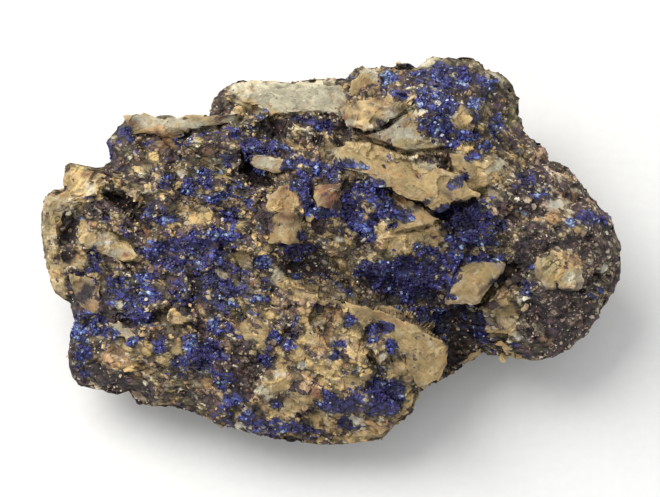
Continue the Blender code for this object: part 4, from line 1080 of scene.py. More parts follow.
    (2, 13.3, 2.2, 0.8, 5), (0.5, 12.7, 1.1, 0.9), (-2.2, 12.4, 1.2, 1.1), (-5, 13.7, 0.9, 0.5),
    (-4.2, 11.6, 1.2, 1.2), (-5.7, 10.1, 1.2, 0.9), (-3.4, 7, 0.9, 0.9), (-0.3, 12.9, 1.2, 0.6),
    (-10.9, 17.5, 1.4, 0.6), (-9.3, 16.6, 1.4, 0.8), (-14.3, 18.6, 1.6, 0.8, 20), (-10.2, 15.5, 1.9, 0.8),
    (-12.7, 16.3, 0.9, 0.8), (-20, 12.1, 1.4, 0.8), (-20.8, 10.9, 1.4, 0.6), (-19.6, 10.4, 1.1, 0.6),
    (-22, 9.3, 1.4, 0.8), (-21.3, 8.5, 0.8, 0.5), (-16.6, 8.5, 1.4, 0.6), (-13, 7.4, 1.1, 0.8),
    (-14.3, 9.5, 1.9, 0.8), (-22.8, 16.9, 1.2, 0.6), (-20.5, 18.2, 2.3, 0.5), (-26.2, 10.9, 1.4, 1.2),
    (-28.2, 5.1, 0.8, 0.5), (-25.9, 4.8, 1.6, 0.8), (-32.1, 2.9, 0.9, 1.4), (-27.6, -0.3, 1.9, 0.8),
    (-37.6, 8.2, 0.9, 0.5), (-18.9, 2.6, 3.1, 1.1), (5.1, 2.8, 1.6, 1.1), (14.7, -0.3, 1.7, 0.9),
    (18.3, 1.6, 1.2, 1.1), (23, -1.2, 3.7, 0.6, 3), (18.3, -4, 1.4, 2.2), (6.4, -5.9, 0.9, 1.2),
    (7.9, -3.4, 0.9, 0.8), (7.9, -12.4, 2, 1.2, 10), (9.2, -14.7, 0.8, 1.4), (6.4, -13.3, 0.8, 0.9),
    (-2.2, -9.2, 0.6, 0.6), (2.8, -10.9, 1.1, 0.8), (0.5, -16.3, 0.9, 0.6), (1.2, -14.6, 1.2, 0.6),
    (-7.1, -14.7, 1.4, 0.9), (-8.5, -12.7, 0.9, 1.4), (-10.4, -16.8, 1.2, 1.1), (-18.2, -12, 0.9, 1.1),
    (-10.9, -1.9, 1.1, 1.2), (-19.2, -1.2, 1.4, 1.2), (-33.2, -5.7, 2, 1.4), (-30, -8.2, 1.7, 1.2),
    (-20.5, -1.4, 1.2, 1.4), (-19.4, -5.4, 0.9, 0.9), (-36.9, -11.8, 1.2, 1.4), (-33.8, -12.9, 0.9, 0.9),
    (-22.2, -14.4, 0.9, 1.2), (-23.6, -17.8, 1.2, 1.1), (-27.2, -15.5, 1.2, 1.1), (-27.8, -6.8, 1.2, 0.8),
    (-39.1, -15.5, 1.1, 2.8), (40, -7.1, 0.9, 0.6), (31.4, 8.5, 0.8, 0.6), (30.4, -6.2, 1.2, 1.4),
    (31, -2.8, 0.6, 0.8), (-15.5, -23.6, 1.6, 1.1), (-13.5, -25.8, 1.9, 0.9), (-16.6, -20.5, 1.2, 0.9),
    (23, 5.9, 1.9, 1.2), (24.5, 3.7, 1.9, 1.1), (18.8, -7.3, 0.6, 0.5), (-5.3, -4, 0.9, 0.5),
    (-3.1, 5.9, 0.9, 0.6), (-25.1, -1.9, 1.9, 0.9), (-5, -1.2, 1.2, 0.5), (-0.3, 11.2, 0.9, 0.6),
    (2.3, 8.1, 0.8, 0.8), (-22.8, -7.8, 1.1, 0.9), (-29, -3.9, 1.2, 0.8), (-14.3, 1.9, 1.6, 0.8),
    (-9.3, -14, 0.9, 0.8), (33.1, 9.3, 0.8, 0.8), (41.6, -6.2, 0.6, 0.5),
# azurite among pale grains on the hump; the pale stands partly for painted glints
]), ("azuriteClear", [
    (9.9, 24.2, 1.4, 0.6, -5), (11, 23.7, 0.9, 0.6), (8.7, 26.4, 1.4, 1.1), (13.3, 27.3, 1.6, 0.6),
    (14.3, 22.8, 0.9, 0.8), (16.8, 24.1, 1.2, 0.9), (15.5, 23.3, 1.2, 1.2), (16.3, 21.7, 1.7, 0.9),
    (17.8, 22, 0.9, 0.9), (17.2, 20.8, 1.2, 0.8), (14.4, 19.9, 1.1, 0.9), (16.3, 18.5, 1.7, 1.6),
    (17.7, 18, 0.9, 0.8), (20, 18, 1.1, 0.9), (22.2, 22.2, 0.8, 0.8), (22.2, 20.5, 0.8, 1.1),
    (25.6, 19.4, 0.9, 1.4), (24.1, 16.1, 0.9, 0.5), (19.9, 25.9, 1.9, 0.9), (24.5, 25.9, 1.4, 0.9),
    (18.3, 27.5, 1.1, 0.9),
]), ("azuriteDeep", [
    (18.6, 16.3, 0.8, 0.6), (22, 18, 0.8, 0.6), (23.6, 16, 0.9, 0.5), (2.8, 7.1, 0.9, 0.9),
    (9.6, 4, 0.5, 0.3), (2.5, 5.4, 0.9, 0.9), (20.6, 5.6, 3.1, 1.2, -8), (-15.7, 13.3, 0.9, 0.8),
    (-7, 13, 0.9, 0.9), (-4.2, 8.5, 0.8, 1.2), (-1.1, 5.7, 1.9, 0.6), (-21.3, 1.1, 2.2, 0.9),
    (-4.5, 2, 0.8, 0.8), (-32, 18.2, 1.2, 0.8), (-31, 16.9, 0.8, 0.6), (-28.9, 16.5, 0.6, 0.6),
    (-5.4, 19.9, 0.9, 0.8, -20), (-35.5, 4.7, 0.8, 0.5), (-24.8, 0.8, 2, 0.8), (-28.2, 6.5, 0.6, 0.6),
    (-2.2, 19.4, 2.2, 1.1, -15), (-36.5, -2.8, 1.4, 0.9), (-37.9, -19.4, 1.1, 0.8), (16.8, 27.9, 1.4, 0.8),
    (20.6, 27.6, 1.1, 0.9), (-8.8, -24.1, 0.9, 0.9), (40.4, 4.8, 1.9, 1.1), (30.4, 11.2, 1.4, 1.2),
    (-15.5, 5.4, 1.4, 0.9), (12.1, -2.8, 3.4, 1.4, -5), (8.4, -23, 2.6, 2.2, 10),
    (7.9, -12.6, 1.6, 0.9, 10), (9.2, -14.6, 0.6, 1.1), (-34.6, 15.5, 0.5, 1.2),
# light blue azurite patches, partly painted glints where crystals catch the light
]), ("azuriteLightAndGlints", [
    (16.1, 26.8, 0.8, 0.5), (18.6, 22.8, 0.8, 0.8), (13.8, 18.6, 0.5, 0.9), (21.7, 22.2, 0.5, 0.5),
    (22.7, 14.3, 0.8, 0.3, 25), (8.8, 26.4, 0.6, 0.5), (4.3, 12.9, 1.2, 0.5), (2, 13, 0.9, 0.3),
    (10.1, 5, 0.6, 0.3), (4.7, 3.4, 1.2, 0.6), (-7.6, 15.8, 1.4, 0.6, -20), (-6.7, 15.5, 0.8, 0.5),
    (-11.5, 21.3, 0.6, 0.6), (-10.1, 21.1, 0.6, 0.8), (-11.5, 12, 0.8, 0.5), (-14.3, 9.9, 1.4, 0.5, 10),
    (-18.6, 8.1, 0.9, 0.6), (-16.6, 2.3, 1.2, 0.5), (-1.9, 13.5, 0.8, 0.5), (-2.2, 12.4, 0.6, 0.6),
    (-3.1, 5.9, 0.6, 0.5), (-21.3, 11.2, 0.8, 0.3), (-22, 9.2, 0.8, 0.5), (-31.7, 2.5, 0.6, 0.6),
    (-28.6, 5.1, 0.5, 0.3), (-25.9, 4.7, 1.1, 0.5), (-27.6, 0, 1.4, 0.3), (-29.5, -4.3, 0.9, 0.9),
    (-20, 12, 0.8, 0.3), (18.3, 1.9, 0.9, 0.6), (25.6, -1.4, 1.4, 0.3), (21.4, -1.4, 1.4, 0.3, -5),
    (7.9, -3.4, 0.8, 0.6), (11.5, -6.7, 0.5, 1.7), (16.6, -9.5, 0.6, 0.6), (17.8, -13.5, 0.6, 0.6),
    (2, -5.7, 1.4, 0.3, -30), (-8.5, -13.7, 0.6, 0.5), (-7, -14.4, 0.5, 0.5), (-9.9, -16.8, 0.6, 0.8),
    (-10.9, -1.9, 0.8, 1.1), (-10.9, -7.4, 0.9, 0.6), (-12.4, -7.8, 0.5, 0.3), (-18.2, -11.5, 0.6, 0.8),
    (-16.6, -20.5, 0.8, 0.5), (-15.1, -23.6, 0.8, 0.5), (-7.3, -27.5, 0.8, 0.5), (6.2, -13.7, 0.5, 0.6),
    (9.2, -14.9, 0.3, 0.8), (-39.1, -12, 1.4, 1.1), (-5.6, -11, 0.3, 1.2, -15), (37.1, 4.3, 0.8, 0.5),
    (31.7, 8.5, 0.6, 0.5), (20.3, 25.3, 0.5, 0.3), (23.7, 16.1, 0.8, 0.3), (16.1, 20.6, 0.5, 0.3),
    (-5.3, -3.9, 0.8, 0.3), (-17.5, -1.6, 0.6, 0.8), (13.3, 0.5, 0.6, 0.5), (11, -9.3, 1.2, 0.3, -30),
    (-15.5, -8.5, 0.8, 0.5), (-21.7, -14.1, 0.8, 0.9), (5.9, 2.8, 0.6, 0.5), (-31, -14.3, 0.6, 0.8),
]), ("darkGrain", [
    (-36.2, 6.1, 2.3, 1.4), (-14.3, 13.2, 1.1, 1.9),
]), ("azuriteDeep", [
    (-36.6, -1.9, 1.2, 2.6, 14), (-13.3, 15.8, 0.8, 1.9),
]), ("olive", [
    (21.4, 29.2, 4, 0.9, -5), (-35.5, -6.5, 0.5, 2.6), (-5.1, 18, 1.9, 0.9, -20), (33.8, -2.5, 1.7, 1.7),
# pale patches; the last one is a painted highlight on the wedge's lower edge
]), ("paleTan", [
    (-41.6, 7.8, 1.4, 0.6), (-41.7, 6.4, 1.4, 0.5), (-37.9, 9.6, 1.2, 0.9), (-3.9, 17.8, 0.8, 0.5, -30),
    (2.8, 19.9, 1.1, 0.5, 15),
]), ("tan", [
    (-38.5, 2.3, 1.1, 2), (-42.4, -0.9, 0.8, 2), (-39.6, -2.5, 1.9, 0.6), (-38.6, -0.8, 0.6, 1.2),
    (-39.1, 8.4, 0.8, 2.2), (-7.3, 17.2, 2, 0.5, -38), (-4.2, 15.8, 1.2, 0.6),
]), ("brown", [
    (-40.7, -0.9, 0.9, 0.9), (-41.1, 1.4, 1.2, 0.9), (-1.1, 20.8, 1.6, 0.5), (-4.2, 16.9, 0.9, 0.6, -20),
    (19.1, 29.5, 0.9, 0.5), (24.5, 28.6, 1.2, 0.5, -10), (3.9, 18.2, 2.5, 0.6, -8),
    (3.1, 23.3, 0.9, 0.3, -40), (4.7, 23.9, 0.8, 0.3, -20), (6.2, 22.8, 0.6, 0.3, 10),
    (7.6, 22, 0.8, 0.3, -15), (5.6, 21.4, 0.6, 0.3), (9.3, 21.7, 0.6, 0.3, -20), (7.1, 23.6, 0.9, 0.3, -10),
    (4, 22, 0.6, 0.3, -45),
# more black: painted shade in a hole in the trench, and a dark line by the left block
]), ("black", [
    (-8.5, 19.2, 1.2, 0.8, -35), (-40.4, -6.5, 0.5, 2.6, 10),
])]


# Lay one cover over the values where the mask says
def layCover(values, kind, mask):
    azurite, host, lightness, tint, _ = covers[kind]
    fresh = np.array([azurite, host, lightness, *tint])
    return values + (fresh - values) * mask[:, None]


# The patches of the sides and the underside: cover, size of a drift, seed, and how much is bare
sideDrifts = [
    ("darkGrain", 11.0, 61, 0.55), ("mixed", 9.0, 62, 0.56), ("brown", 7.0, 63, 0.66),
    ("tan", 8.0, 64, 0.60), ("orange", 5.0, 65, 0.68), ("azurite", 6.5, 66, 0.70),
    ("paleTan", 5.5, 67, 0.76),
]

# The edges of the patches: noise that they wander with, as reach, size and seed, and how large a
# patch has to be to wander in full; least softness, and more with size; softness of the drifts
patchEdge = {
    "wander": [(1.5, 1.9, 51), (1.0, 0.8, 52)], "fullWander": 1.2, "leastSoft": 0.3,
    "softShare": 0.9, "driftSoft": 0.12,
}


# The covers at each place: patches laid in turn over the face, their edges wandering with the
# noise, and drifts of the same covers round the sides and underneath
def coversAt(places, onFace):
    look = patchEdge
    every = np.ones(len(places))
    sides = layCover(np.zeros((len(places), 6)), "tanGrain", every)
    for kind, size, seed, least in sideDrifts:
        drift = driftNoise(places, size, seed) - least
        sides = layCover(sides, kind, ramp(drift / look["driftSoft"]))
    wander = sum(reach * (driftNoise(places, size, seed) - 0.5) for reach, size, seed in look["wander"])
    values = layCover(sides, "mixed", every)
    for kind, patches in paintLayers:
        for across, up, wide, high, *turned in patches:
            least = min(wide, high)
            soft = min(covers[kind][4], look["leastSoft"] + look["softShare"] * least)
            stray = wander * min(1.0, least / look["fullWander"])
            turn = math.radians(turned[0] if turned else 0.0)
            away = places[:, :2] - (across, up)
            along = (away[:, 0] * math.cos(turn) + away[:, 1] * math.sin(turn)) / wide
            over = (away[:, 1] * math.cos(turn) - away[:, 0] * math.sin(turn)) / high
            beyond = (np.hypot(along, over) - 1.0) * least + stray
            values = layCover(values, kind, ramp(0.5 - beyond / soft))
    return sides + (values - sides) * onFace[:, None]


# Store the covers with how far the place stands out of its surroundings, from -1 to 1
def storeCovers(mesh, values, relief):
    setColours(mesh, "cover", np.column_stack([values[:, :3], 0.5 + 0.5 * np.clip(relief, -1, 1)]))
    setColours(mesh, "hostTint", np.column_stack([values[:, 3:], np.ones(len(values))]))


# Outward directions of the face, from its heights a good way to either side, so that they turn
# slowly over its steps and pits
def wideNormals(places):
    reach = stone["normalReach"]
    slopes = [
        faceHeight(places - shift) - faceHeight(places + shift) for shift in np.eye(2) * reach
    ]
    turned = np.column_stack(slopes + [np.full(len(places), 2.0 * reach)])
    return turned / np.linalg.norm(turned, axis=1, keepdims=True)


# The whole stone: the smooth stone broken into lumps along its normals, large and small, with its
# underside cut off level at the table. Also gives the covers at its vertices, and 0 for those
# that lie under a plate
def makeStone(material):
    columns, faceLists = stoneGrid()
    bearing, levelShare, edgeShare, above = columns.T
    above = above > 0.5
    places, edge = smoothStone(bearing, levelShare, edgeShare, above)
    piece = makePiece("azurite_stone", places, faceLists, material)
    outwards = vertexValues(piece.data, "normal")
    _, rim, width = rimValues(bearing)
    level = np.where(above, ramp(edge / width), 0.0)[:, None]
    outwards += (wideNormals(places[:, :2]) - outwards) * level
    quiet = stone["rimLumps"] + (1.0 - stone["rimLumps"]) * ramp(edge / stone["quietRim"])
    push = quiet * layeredLumps(places, stone["lumps"])
    onFace = np.where(above, 1.0, ramp(1.0 - (rim - places[:, 2]) / stone["paintRunsDown"]))
    values = coversAt(places, onFace)
    plainFrom, plainOver = stone["plainHost"]
    plain = np.clip((values[:, 1] - plainFrom) / plainOver, 0.0, 1.0)
    calm = stone["plainCalm"] * plain * ramp((edge - 1.0) / stone["quietRim"])
    fine = layeredLumps(places, stone["fineLumps"]) * (1.0 - calm)
    fine += np.where(above, bedRelief(places), 0.0)
    cracks = np.where(above, crackDepth(places[:, :2], stone["cracks"]), 0.0)
    hidden = np.where(above, pitDepth(places[:, :2]), 0.0)
    points = inWorld(places + outwards * (push + fine - cracks)[:, None])
    points = np.clip(points, cadLow, cadHigh)
    piece.data.vertices.foreach_set("co", points.astype(np.float32).ravel())
    piece.data.update()
    # low places, cracks and pits are darkened with painted shade
    relief = {"push": push, "fine": fine, "cracks": cracks, "hidden": hidden}
    storeCovers(piece.data, values, sum(stone["wear"][name] * relief[name] for name in relief))
    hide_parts("azurite_specimen")
    under = np.any([insideOf(places[:, :2], plate["outline"]) for plate in plates.values()], axis=0)
    return enterPiece(piece), values, np.where(under & above, 0.0, 1.0)


# What the plates share: corner spacing of their grid; how far and over what length their outline is
# jagged, with a seed; chipped edges; low relief as size, height and seed; the walls' rings as
# shares of the thickness, how far they draw in and how rough they are; and where their ground is
# bare of azurite and not dark, the least share of host rock; brightness; and how each relief shows:
# proud lumps and chipped edges lighter, low lumps, cracks and walls darkened with painted shade
plateLook = {
    "spacing": 0.27, "jag": [(1.7, 0.55, 71), (0.65, 0.28, 73)], "sunk": 0.12,
    "chip": 0.5, "chipDepth": 0.4, "leastChip": 0.25, "chipNoise": (0.9, 78),
    "relief": [(3.2, 0.21, 75), (1.4, 0.085, 76), (0.6, 0.04, 77)],
    "wallDepths": (0.04, 0.11, 0.2, 0.31, 0.45, 0.64, 1.0), "undercut": 0.16, "wallRough": 0.30,
    "wallLumps": (0.9, 79), "wallStretch": 2.0, "mostInset": 0.5,
    "bareUnder": 0.42, "bareAzurite": 0.15, "darkTint": 0.14, "leastHost": 0.93, "shade": 0.76,
    "wear": {"low": 2.0, "chipped": 0.35, "cracks": -3.0, "wall": -0.5},
}

# The plates and blocks that stand over the face: outline, middle of the top, its slopes and its
# thickness. One that grows out of the ground along a root path rises from it over the root reach.
# Ragged and rough scale its jags and its relief, and shade its brightness
plates = {
    "lifted_flake": {
        "outline": [
            (0.3, 13.2), (0.6, 15.2), (2, 16.5), (5.6, 17.1), (7.4, 16.6), (9, 15.7), (10.9, 14.7),
            (13, 14.3), (15.8, 13.3), (18.3, 12.4), (19.9, 11.8), (21.4, 10.2), (22.8, 8.8), (20.2, 7.8),
            (18.3, 7.1), (16.9, 5.6), (14.4, 6.8), (12.1, 8.2), (10.6, 9), (8.2, 9.8), (6.2, 10.7),
            (5.9, 12.1), (4.7, 13), (2.8, 13.3),
        ],
        "top": (14.5, 10.0, 5.5), "slope": (0.02, -0.10), "thick": 3.0,
        "root": [(-0.5, 12.8), (0.2, 16.4), (5.5, 17.8), (9.5, 16.2), (12.5, 15.2)], "rootReach": 6.5,
    },
    "small_flake": {
        "outline": [(10.1, 2.6), (14.4, 3.4), (16.8, 4.7), (12.9, 7.3), (9.2, 9.2)],
        "top": (12.5, 5.5, 4.0), "slope": (-0.02, 0.05), "thick": 2.5,
        "root": [(8.6, 9.4), (9.6, 2.4)], "rootReach": 4.0,
    },
    "top_wedge": {
        "outline": [
            (1.4, 20.5), (2.5, 19.1), (4.7, 18.6), (7.1, 18.9), (9, 19.9), (10.6, 20.8), (12.3, 22),
            (12.9, 23.9), (9.8, 24.4), (6.2, 23.7), (3.6, 23.4),
        ],
        "top": (7.0, 21.5, 3.8), "slope": (0.12, -0.20), "thick": 3.5, "rough": 2.0,
        "root": [(12.7, 22), (13.3, 24.2), (9.8, 24.8), (5, 24.2)], "rootReach": 4.0,
    },
    "pale_plate": {
        "outline": [
            (4.7, 17.5), (7.8, 16.6), (9.2, 15.7), (12.1, 15.1), (18.2, 15.7), (15.2, 16.8), (13.3, 18.3),
            (13.7, 20.5), (12.9, 21.9), (10.6, 20.5), (8.7, 19.1), (6.2, 18.2),
        ],
        "top": (11.0, 17.5, 3.9), "slope": (0.02, -0.05), "thick": 2.5,
        "root": [(18.6, 15.7), (15.4, 17), (13.5, 18.5), (13.9, 20.7)], "rootReach": 3.5,
    },
    "leaf": {
        "outline": [
            (17.6, -8.3), (17.6, -6.5), (18.2, -5), (19.2, -3.6), (20.4, -2.4), (22, -1.7), (23.8, -1.4),
            (25.4, -1.5), (27, -2.2), (26.4, -3.2), (25.5, -4.4), (24.6, -5.7), (23.7, -7), (22.9, -8.2),
            (20.4, -8.5),
        ],
        "top": (22.0, -5.2, 1.5), "slope": (0.05, 0.05), "thick": 2.6, "ragged": 0.45, "shade": 0.85,
        "root": [(17, -8.4), (17.1, -5.6), (19.2, -2.4), (23.5, -0.7)], "rootReach": 1.5,
    },
    "middle_block": {
        "outline": [
            (-10.1, 4.3), (-9.6, 1.1), (-5, 0.9), (-4.5, 5.4), (-5.3, 9.3), (-6.2, 10.4), (-8.1, 9.6),
            (-10.4, 7.8),
        ],
        "top": (-7.5, 5.5, 2.6), "slope": (0.05, 0.10), "thick": 3.0,
        "root": [(-4.2, 1), (-4, 5.5), (-5, 9.5)], "rootReach": 3.0,
    },
    "red_block": {
        "outline": [(-2.6, 10.2), (-2.5, 6.8), (1.6, 6.8), (1.6, 10.6)],
        "top": (-0.5, 8.6, 2.8), "slope": (0.06, 0.04), "thick": 2.5,
        "root": [(1.9, 6.5), (1.9, 10.8), (-2.8, 10.6)], "rootReach": 2.5,
    },
    "left_wedge": {
        "outline": [
            (-39.4, 2.2), (-38.3, 0), (-36, -0.3), (-32.1, -1.6), (-29.6, -1.4), (-31.4, 0.8), (-33.7, 2.8),
            (-36.8, 3.4),
        ],
        "top": (-34.5, 0.8, -2.2), "slope": (0.05, 0.10), "thick": 3.0, "rough": 2.0,
        "root": [(-39.8, 2.4), (-36.8, 3.8), (-33.5, 3.1), (-31.2, 1)], "rootReach": 3.0,
    },
    "back_slab": {
        "outline": [
            (-14.3, 24.6), (-13.8, 23.6), (-12.7, 22.7), (-10.9, 22), (-9.6, 20.5), (-7.3, 21.3),
            (-2.2, 21.4), (0.5, 20.8), (2.3, 21.4), (2.6, 24.1), (1.9, 25.4), (-0.8, 25.4), (-6.5, 24.9),
            (-10.9, 25.1),
        ],
        "top": (-6.0, 23.2, -9.2), "slope": (0.0, -0.25), "thick": 4.0, "shade": 1.08,
    },
    "upper_left_ledge": {
        "outline": [
            (-32.6, 20.9), (-32, 18.4), (-29.6, 18), (-27, 17.5), (-24.6, 17.4), (-22, 18.2), (-19.2, 18.9),
            (-15, 20), (-14, 20.9), (-18.4, 20.9), (-22.8, 20.7), (-27, 20.4), (-29.8, 21.2),
        ],
        "top": (-24.5, 19.4, -3.9), "slope": (0.05, -0.42), "thick": 3.4,
        "root": [(-31.5, 17.4), (-26, 16.6), (-20, 17.6), (-14, 20)], "rootReach": 2.2,
    },
    "pale_shard": {
        "outline": [
            (-12.7, 14.4), (-12.4, 13.2), (-10.9, 12.4), (-8.1, 12.1), (-6.2, 12.7), (-7.3, 14),
            (-10.9, 14.8),
        ],
        "top": (-9.5, 13.5, 1.0), "slope": (0.13, 0.10), "thick": 2.5,
    },
    "left_rim_plate": {
        "outline": [(-44.2, 7.9), (-43.4, 5.8), (-41.6, 6.2), (-40.4, 7.4), (-41.2, 9), (-42.6, 8.8)],
        "top": (-42.4, 7.2, -5.6), "slope": (0.25, -0.10), "thick": 3.0,
        "root": [(-40, 6), (-40.6, 9.4)], "rootReach": 2.4,
    },
    "left_block": {
        "outline": [(-40.7, -3.9), (-39.4, -8), (-38.5, -9.3), (-36, -9.5), (-35.4, -7.8), (-36, -4.7)],
        "top": (-38.0, -6.5, -3.6), "slope": (0.10, 0.0), "thick": 3.0, "shade": 0.85, "rough": 1.6,
    },
    "knob": {
        "outline": [
            (34.8, -2.5), (34.7, -4.5), (35.6, -6.1), (38.2, -6.4), (39.1, -4.8), (38.9, -3), (37.5, -2.3),
            (36, -2),
        ],
        "top": (37.0, -4.2, 4.3), "slope": (-0.25, 0.05), "thick": 2.6, "rough": 1.8,
        "root": [(34.2, -5.6), (34.4, -2), (37.6, -1.6), (39.6, -2.6)], "rootReach": 1.8,
    },
    "knob_shoulder": {
        "outline": [
            (31.7, -1), (33, -0.6), (35.2, -0.8), (35.8, -2.4), (34.8, -4), (34.6, -6.1), (32.8, -5.8),
            (31.8, -4.4), (31.2, -2.6),
        ],
        "top": (33.4, -3.2, 4.2), "slope": (-0.05, 0.05), "thick": 2.2, "rough": 1.8,
        "root": [(31.2, -5.8), (30.8, -2.6), (31.6, -0.4), (35.6, -0.2), (36.2, -2.4)], "rootReach": 1.8,
    },
    "brown_shoulder": {
        "outline": [
            (3.3, 26.6), (2.8, 25.1), (3.7, 23.6), (5.9, 24.1), (7.3, 26.2), (7.2, 27.4), (5, 27.6),
        ],
        "top": (5.0, 25.8, -5.4), "slope": (0.10, -0.20), "thick": 4.0,
    },
    "ridge_plate": {
        "outline": [
            (2, -8.2), (4.3, -8.8), (7.4, -9.5), (10.6, -10.6), (13.7, -12.1), (16.5, -13.8), (18, -14.9),
            (17.7, -17.4), (16.9, -19.9), (14.4, -21.4), (11.3, -18.9), (9.8, -15.5), (6.7, -11.6),
            (2.8, -10.1),
        ],
        "top": (13.0, -15.5, 4.0), "slope": (-0.12, 0.22), "thick": 3.0,
        "root": [(1.4, -8), (2.8, -10.6), (6.4, -12.2), (9.4, -16), (11, -19.6), (14.4, -22)],
        "rootReach": 3.6,
    },
    "plate_beside_the_flake": {
        "outline": [
            (18.3, 15.2), (20.6, 14.7), (23.3, 12.4), (23.3, 10.6), (22.2, 9.9), (20.8, 11.2), (19.1, 12.7),
        ],
        "top": (21.3, 12.6, 3.5), "slope": (-0.20, 0.08), "thick": 1.8,
        "root": [(23.9, 12.8), (24, 10)], "rootReach": 3.0,
    },
    "splinter": {
        "outline": [
            (-34.8, -11.2), (-33.2, -10.9), (-31.7, -11.9), (-30.1, -13.2), (-31.7, -13.7), (-33.7, -12.6),
        ],
        "top": (-32.5, -12.2, -1.9), "slope": (0.12, 0.05), "thick": 1.2,
    },
    "notch_ledge": {
        "outline": [
            (19.1, -17.9), (20.2, -16.9), (21.7, -16.1), (23.6, -15.3), (22.9, -16.3), (21.1, -17.2),
            (19.6, -18.1),
        ],
        "top": (21.2, -16.8, -7.6), "slope": (0.05, 0.0), "thick": 1.4,
    },
    "lower_left_ledge": {
        "outline": [
            (-30.9, -21.6), (-28.2, -22.2), (-25.9, -22.7), (-24.2, -23.5), (-25.9, -24), (-28.2, -23.9),
            (-30.1, -22.9),
        ],
        "top": (-27.6, -23.1, -4.6), "slope": (0.03, 0.05), "thick": 1.4,
    },
    "lobe_lamina": {
        "outline": [
            (24.1, -14.9), (26.1, -14.2), (28.4, -14.7), (30.9, -15.4), (31.2, -16.2), (28.4, -15.6),
            (26.1, -15.2),
        ],
        "top": (27.6, -15.2, -3.6), "slope": (0.0, 0.15), "thick": 1.2,
    },
}


# Height of the face with its larger lumps
def groundHeight(places):
    level = faceHeight(places)
    return level + layeredLumps(np.column_stack([places, level]), stone["lumps"])


# A plate's outline at each bearing: run along at an even pace from the grid's corner, an eighth of
# a turn back, then jagged by noise
def plateRim(plate, bearing, corners, lengths):
    run = (bearing / (2 * math.pi) + 1 / 8) % 1.0 * lengths[-1]
    rim = np.column_stack([np.interp(run, lengths, corners[:, axis]) for axis in (0, 1)])
    spot = np.column_stack([rim, np.full(len(rim), plate["top"][2])])
    for size, reach, seed in plateLook["jag"]:
        wobble = [driftNoise(spot, size, seed + axis) - 0.5 for axis in (0, 1)]
        rim = rim + reach * 2 * plate.get("ragged", 1.0) * np.column_stack(wobble)
    return rim


# Height of a plate's top: a sloping plane that rises from the ground beside its root
def plateLevel(plate, flat):
    level = plate["top"][2] + (flat - np.array(plate["top"][:2])) @ np.array(plate["slope"])
    if "root" not in plate:
        return level
    ground = groundHeight(flat)
    clear = ramp(pathDistance(flat, plate["root"])[0] / plate["rootReach"])
    return ground - plateLook["sunk"] + (level - ground + plateLook["sunk"]) * clear


# Rings of a plate's wall under its rim, each drawn in by its depth and by broken lumps
def plateWall(plate, rim, away):
    look = plateLook
    depth = np.array(look["wallDepths"])[:, None] * plate["thick"]
    wall = np.repeat(rim[None], len(depth), axis=0)
    wall[:, :, 2] -= depth
    stretched = wall.reshape(-1, 3) * (1.0, 1.0, look["wallStretch"])
    rough = brokenLumps(stretched, *look["wallLumps"]).reshape(wall.shape[:2])
    reach = np.linalg.norm(away, axis=1)
    inset = look["undercut"] * depth + look["wallRough"] * rough
    inset = np.minimum(inset, look["mostInset"] * reach)
    wall[:, :, :2] -= away * (inset / reach)[:, :, None]
    return wall


# A broken plate as a surface of bearing and run: a flat top with low relief and chipped edges,
# then jagged walls that draw in below it, closed underneath inside the stone
def makePlate(name, plate, material):
    look, wear = plateLook, plateLook["wear"]
    middle = np.array(plate["top"][:2])
    corners = np.array(plate["outline"] + plate["outline"][:1], float)
    lengths = np.concatenate([[0.0], np.cumsum(np.hypot(*np.diff(corners, axis=0).T))])
    side = max(6, round(lengths[-1] / (4 * look["spacing"])))
    bearing, share, topFaces, edge = discGrid(side, side)
    away = plateRim(plate, bearing, corners, lengths) - middle
    flat = middle + away * share[:, None]
    stood = np.column_stack([flat, plateLevel(plate, flat)])
    low = layeredLumps(stood, look["relief"]) * plate.get("rough", 1.0)
    inwards = (1.0 - share) * np.linalg.norm(away, axis=1)
    broken = ramp(1.0 - inwards / look["chip"])
    chipped = broken * (look["leastChip"] + driftNoise(stood, *look["chipNoise"])) * look["chipDepth"]
    cracks = crackDepth(flat, stone["cracks"])
    stood[:, 2] += low - chipped - cracks
    wall = plateWall(plate, stood[edge], away[edge])
    foot = np.array([[*middle, plate["top"][2] - plate["thick"]]])
    places = np.concatenate([stood, wall.reshape(-1, 3), foot])
    count, columns = len(stood), len(edge)
    rings = [edge] + [np.arange(columns) + count + columns * row for row in range(len(wall))]
    faceLists = [topFaces] + [bridgeRings(*pair) for pair in zip(rings, rings[1:])]
    bottom = np.full(columns, len(places) - 1)
    faceLists.append(np.stack([rings[-1], bottom, np.roll(rings[-1], -1)], axis=1))
    points = np.clip(inWorld(places), cadLow, cadHigh)
    piece = makePiece(name, points, faceLists, material)
    values = coversAt(places, np.ones(len(places)))
    bare = (values[:, 0] < look["bareUnder"]) & (values[:, 3] > look["darkTint"])
    values[:, 0] = np.where(bare, look["bareAzurite"] * values[:, 0], values[:, 0])
    values[:, 1] = np.where(bare, np.maximum(values[:, 1], look["leastHost"]), values[:, 1])
    values[:, 3:] *= look["shade"] * plate.get("shade", 1.0)
    # walls, cracks and low lumps darkened with painted shade; proud lumps and chipped edges lighter
    relief = np.full(len(places), wear["wall"])
    relief[:count] = wear["low"] * low + wear["chipped"] * broken + wear["cracks"] * cracks
    storeCovers(piece.data, values, relief)
    return enterPiece(piece)


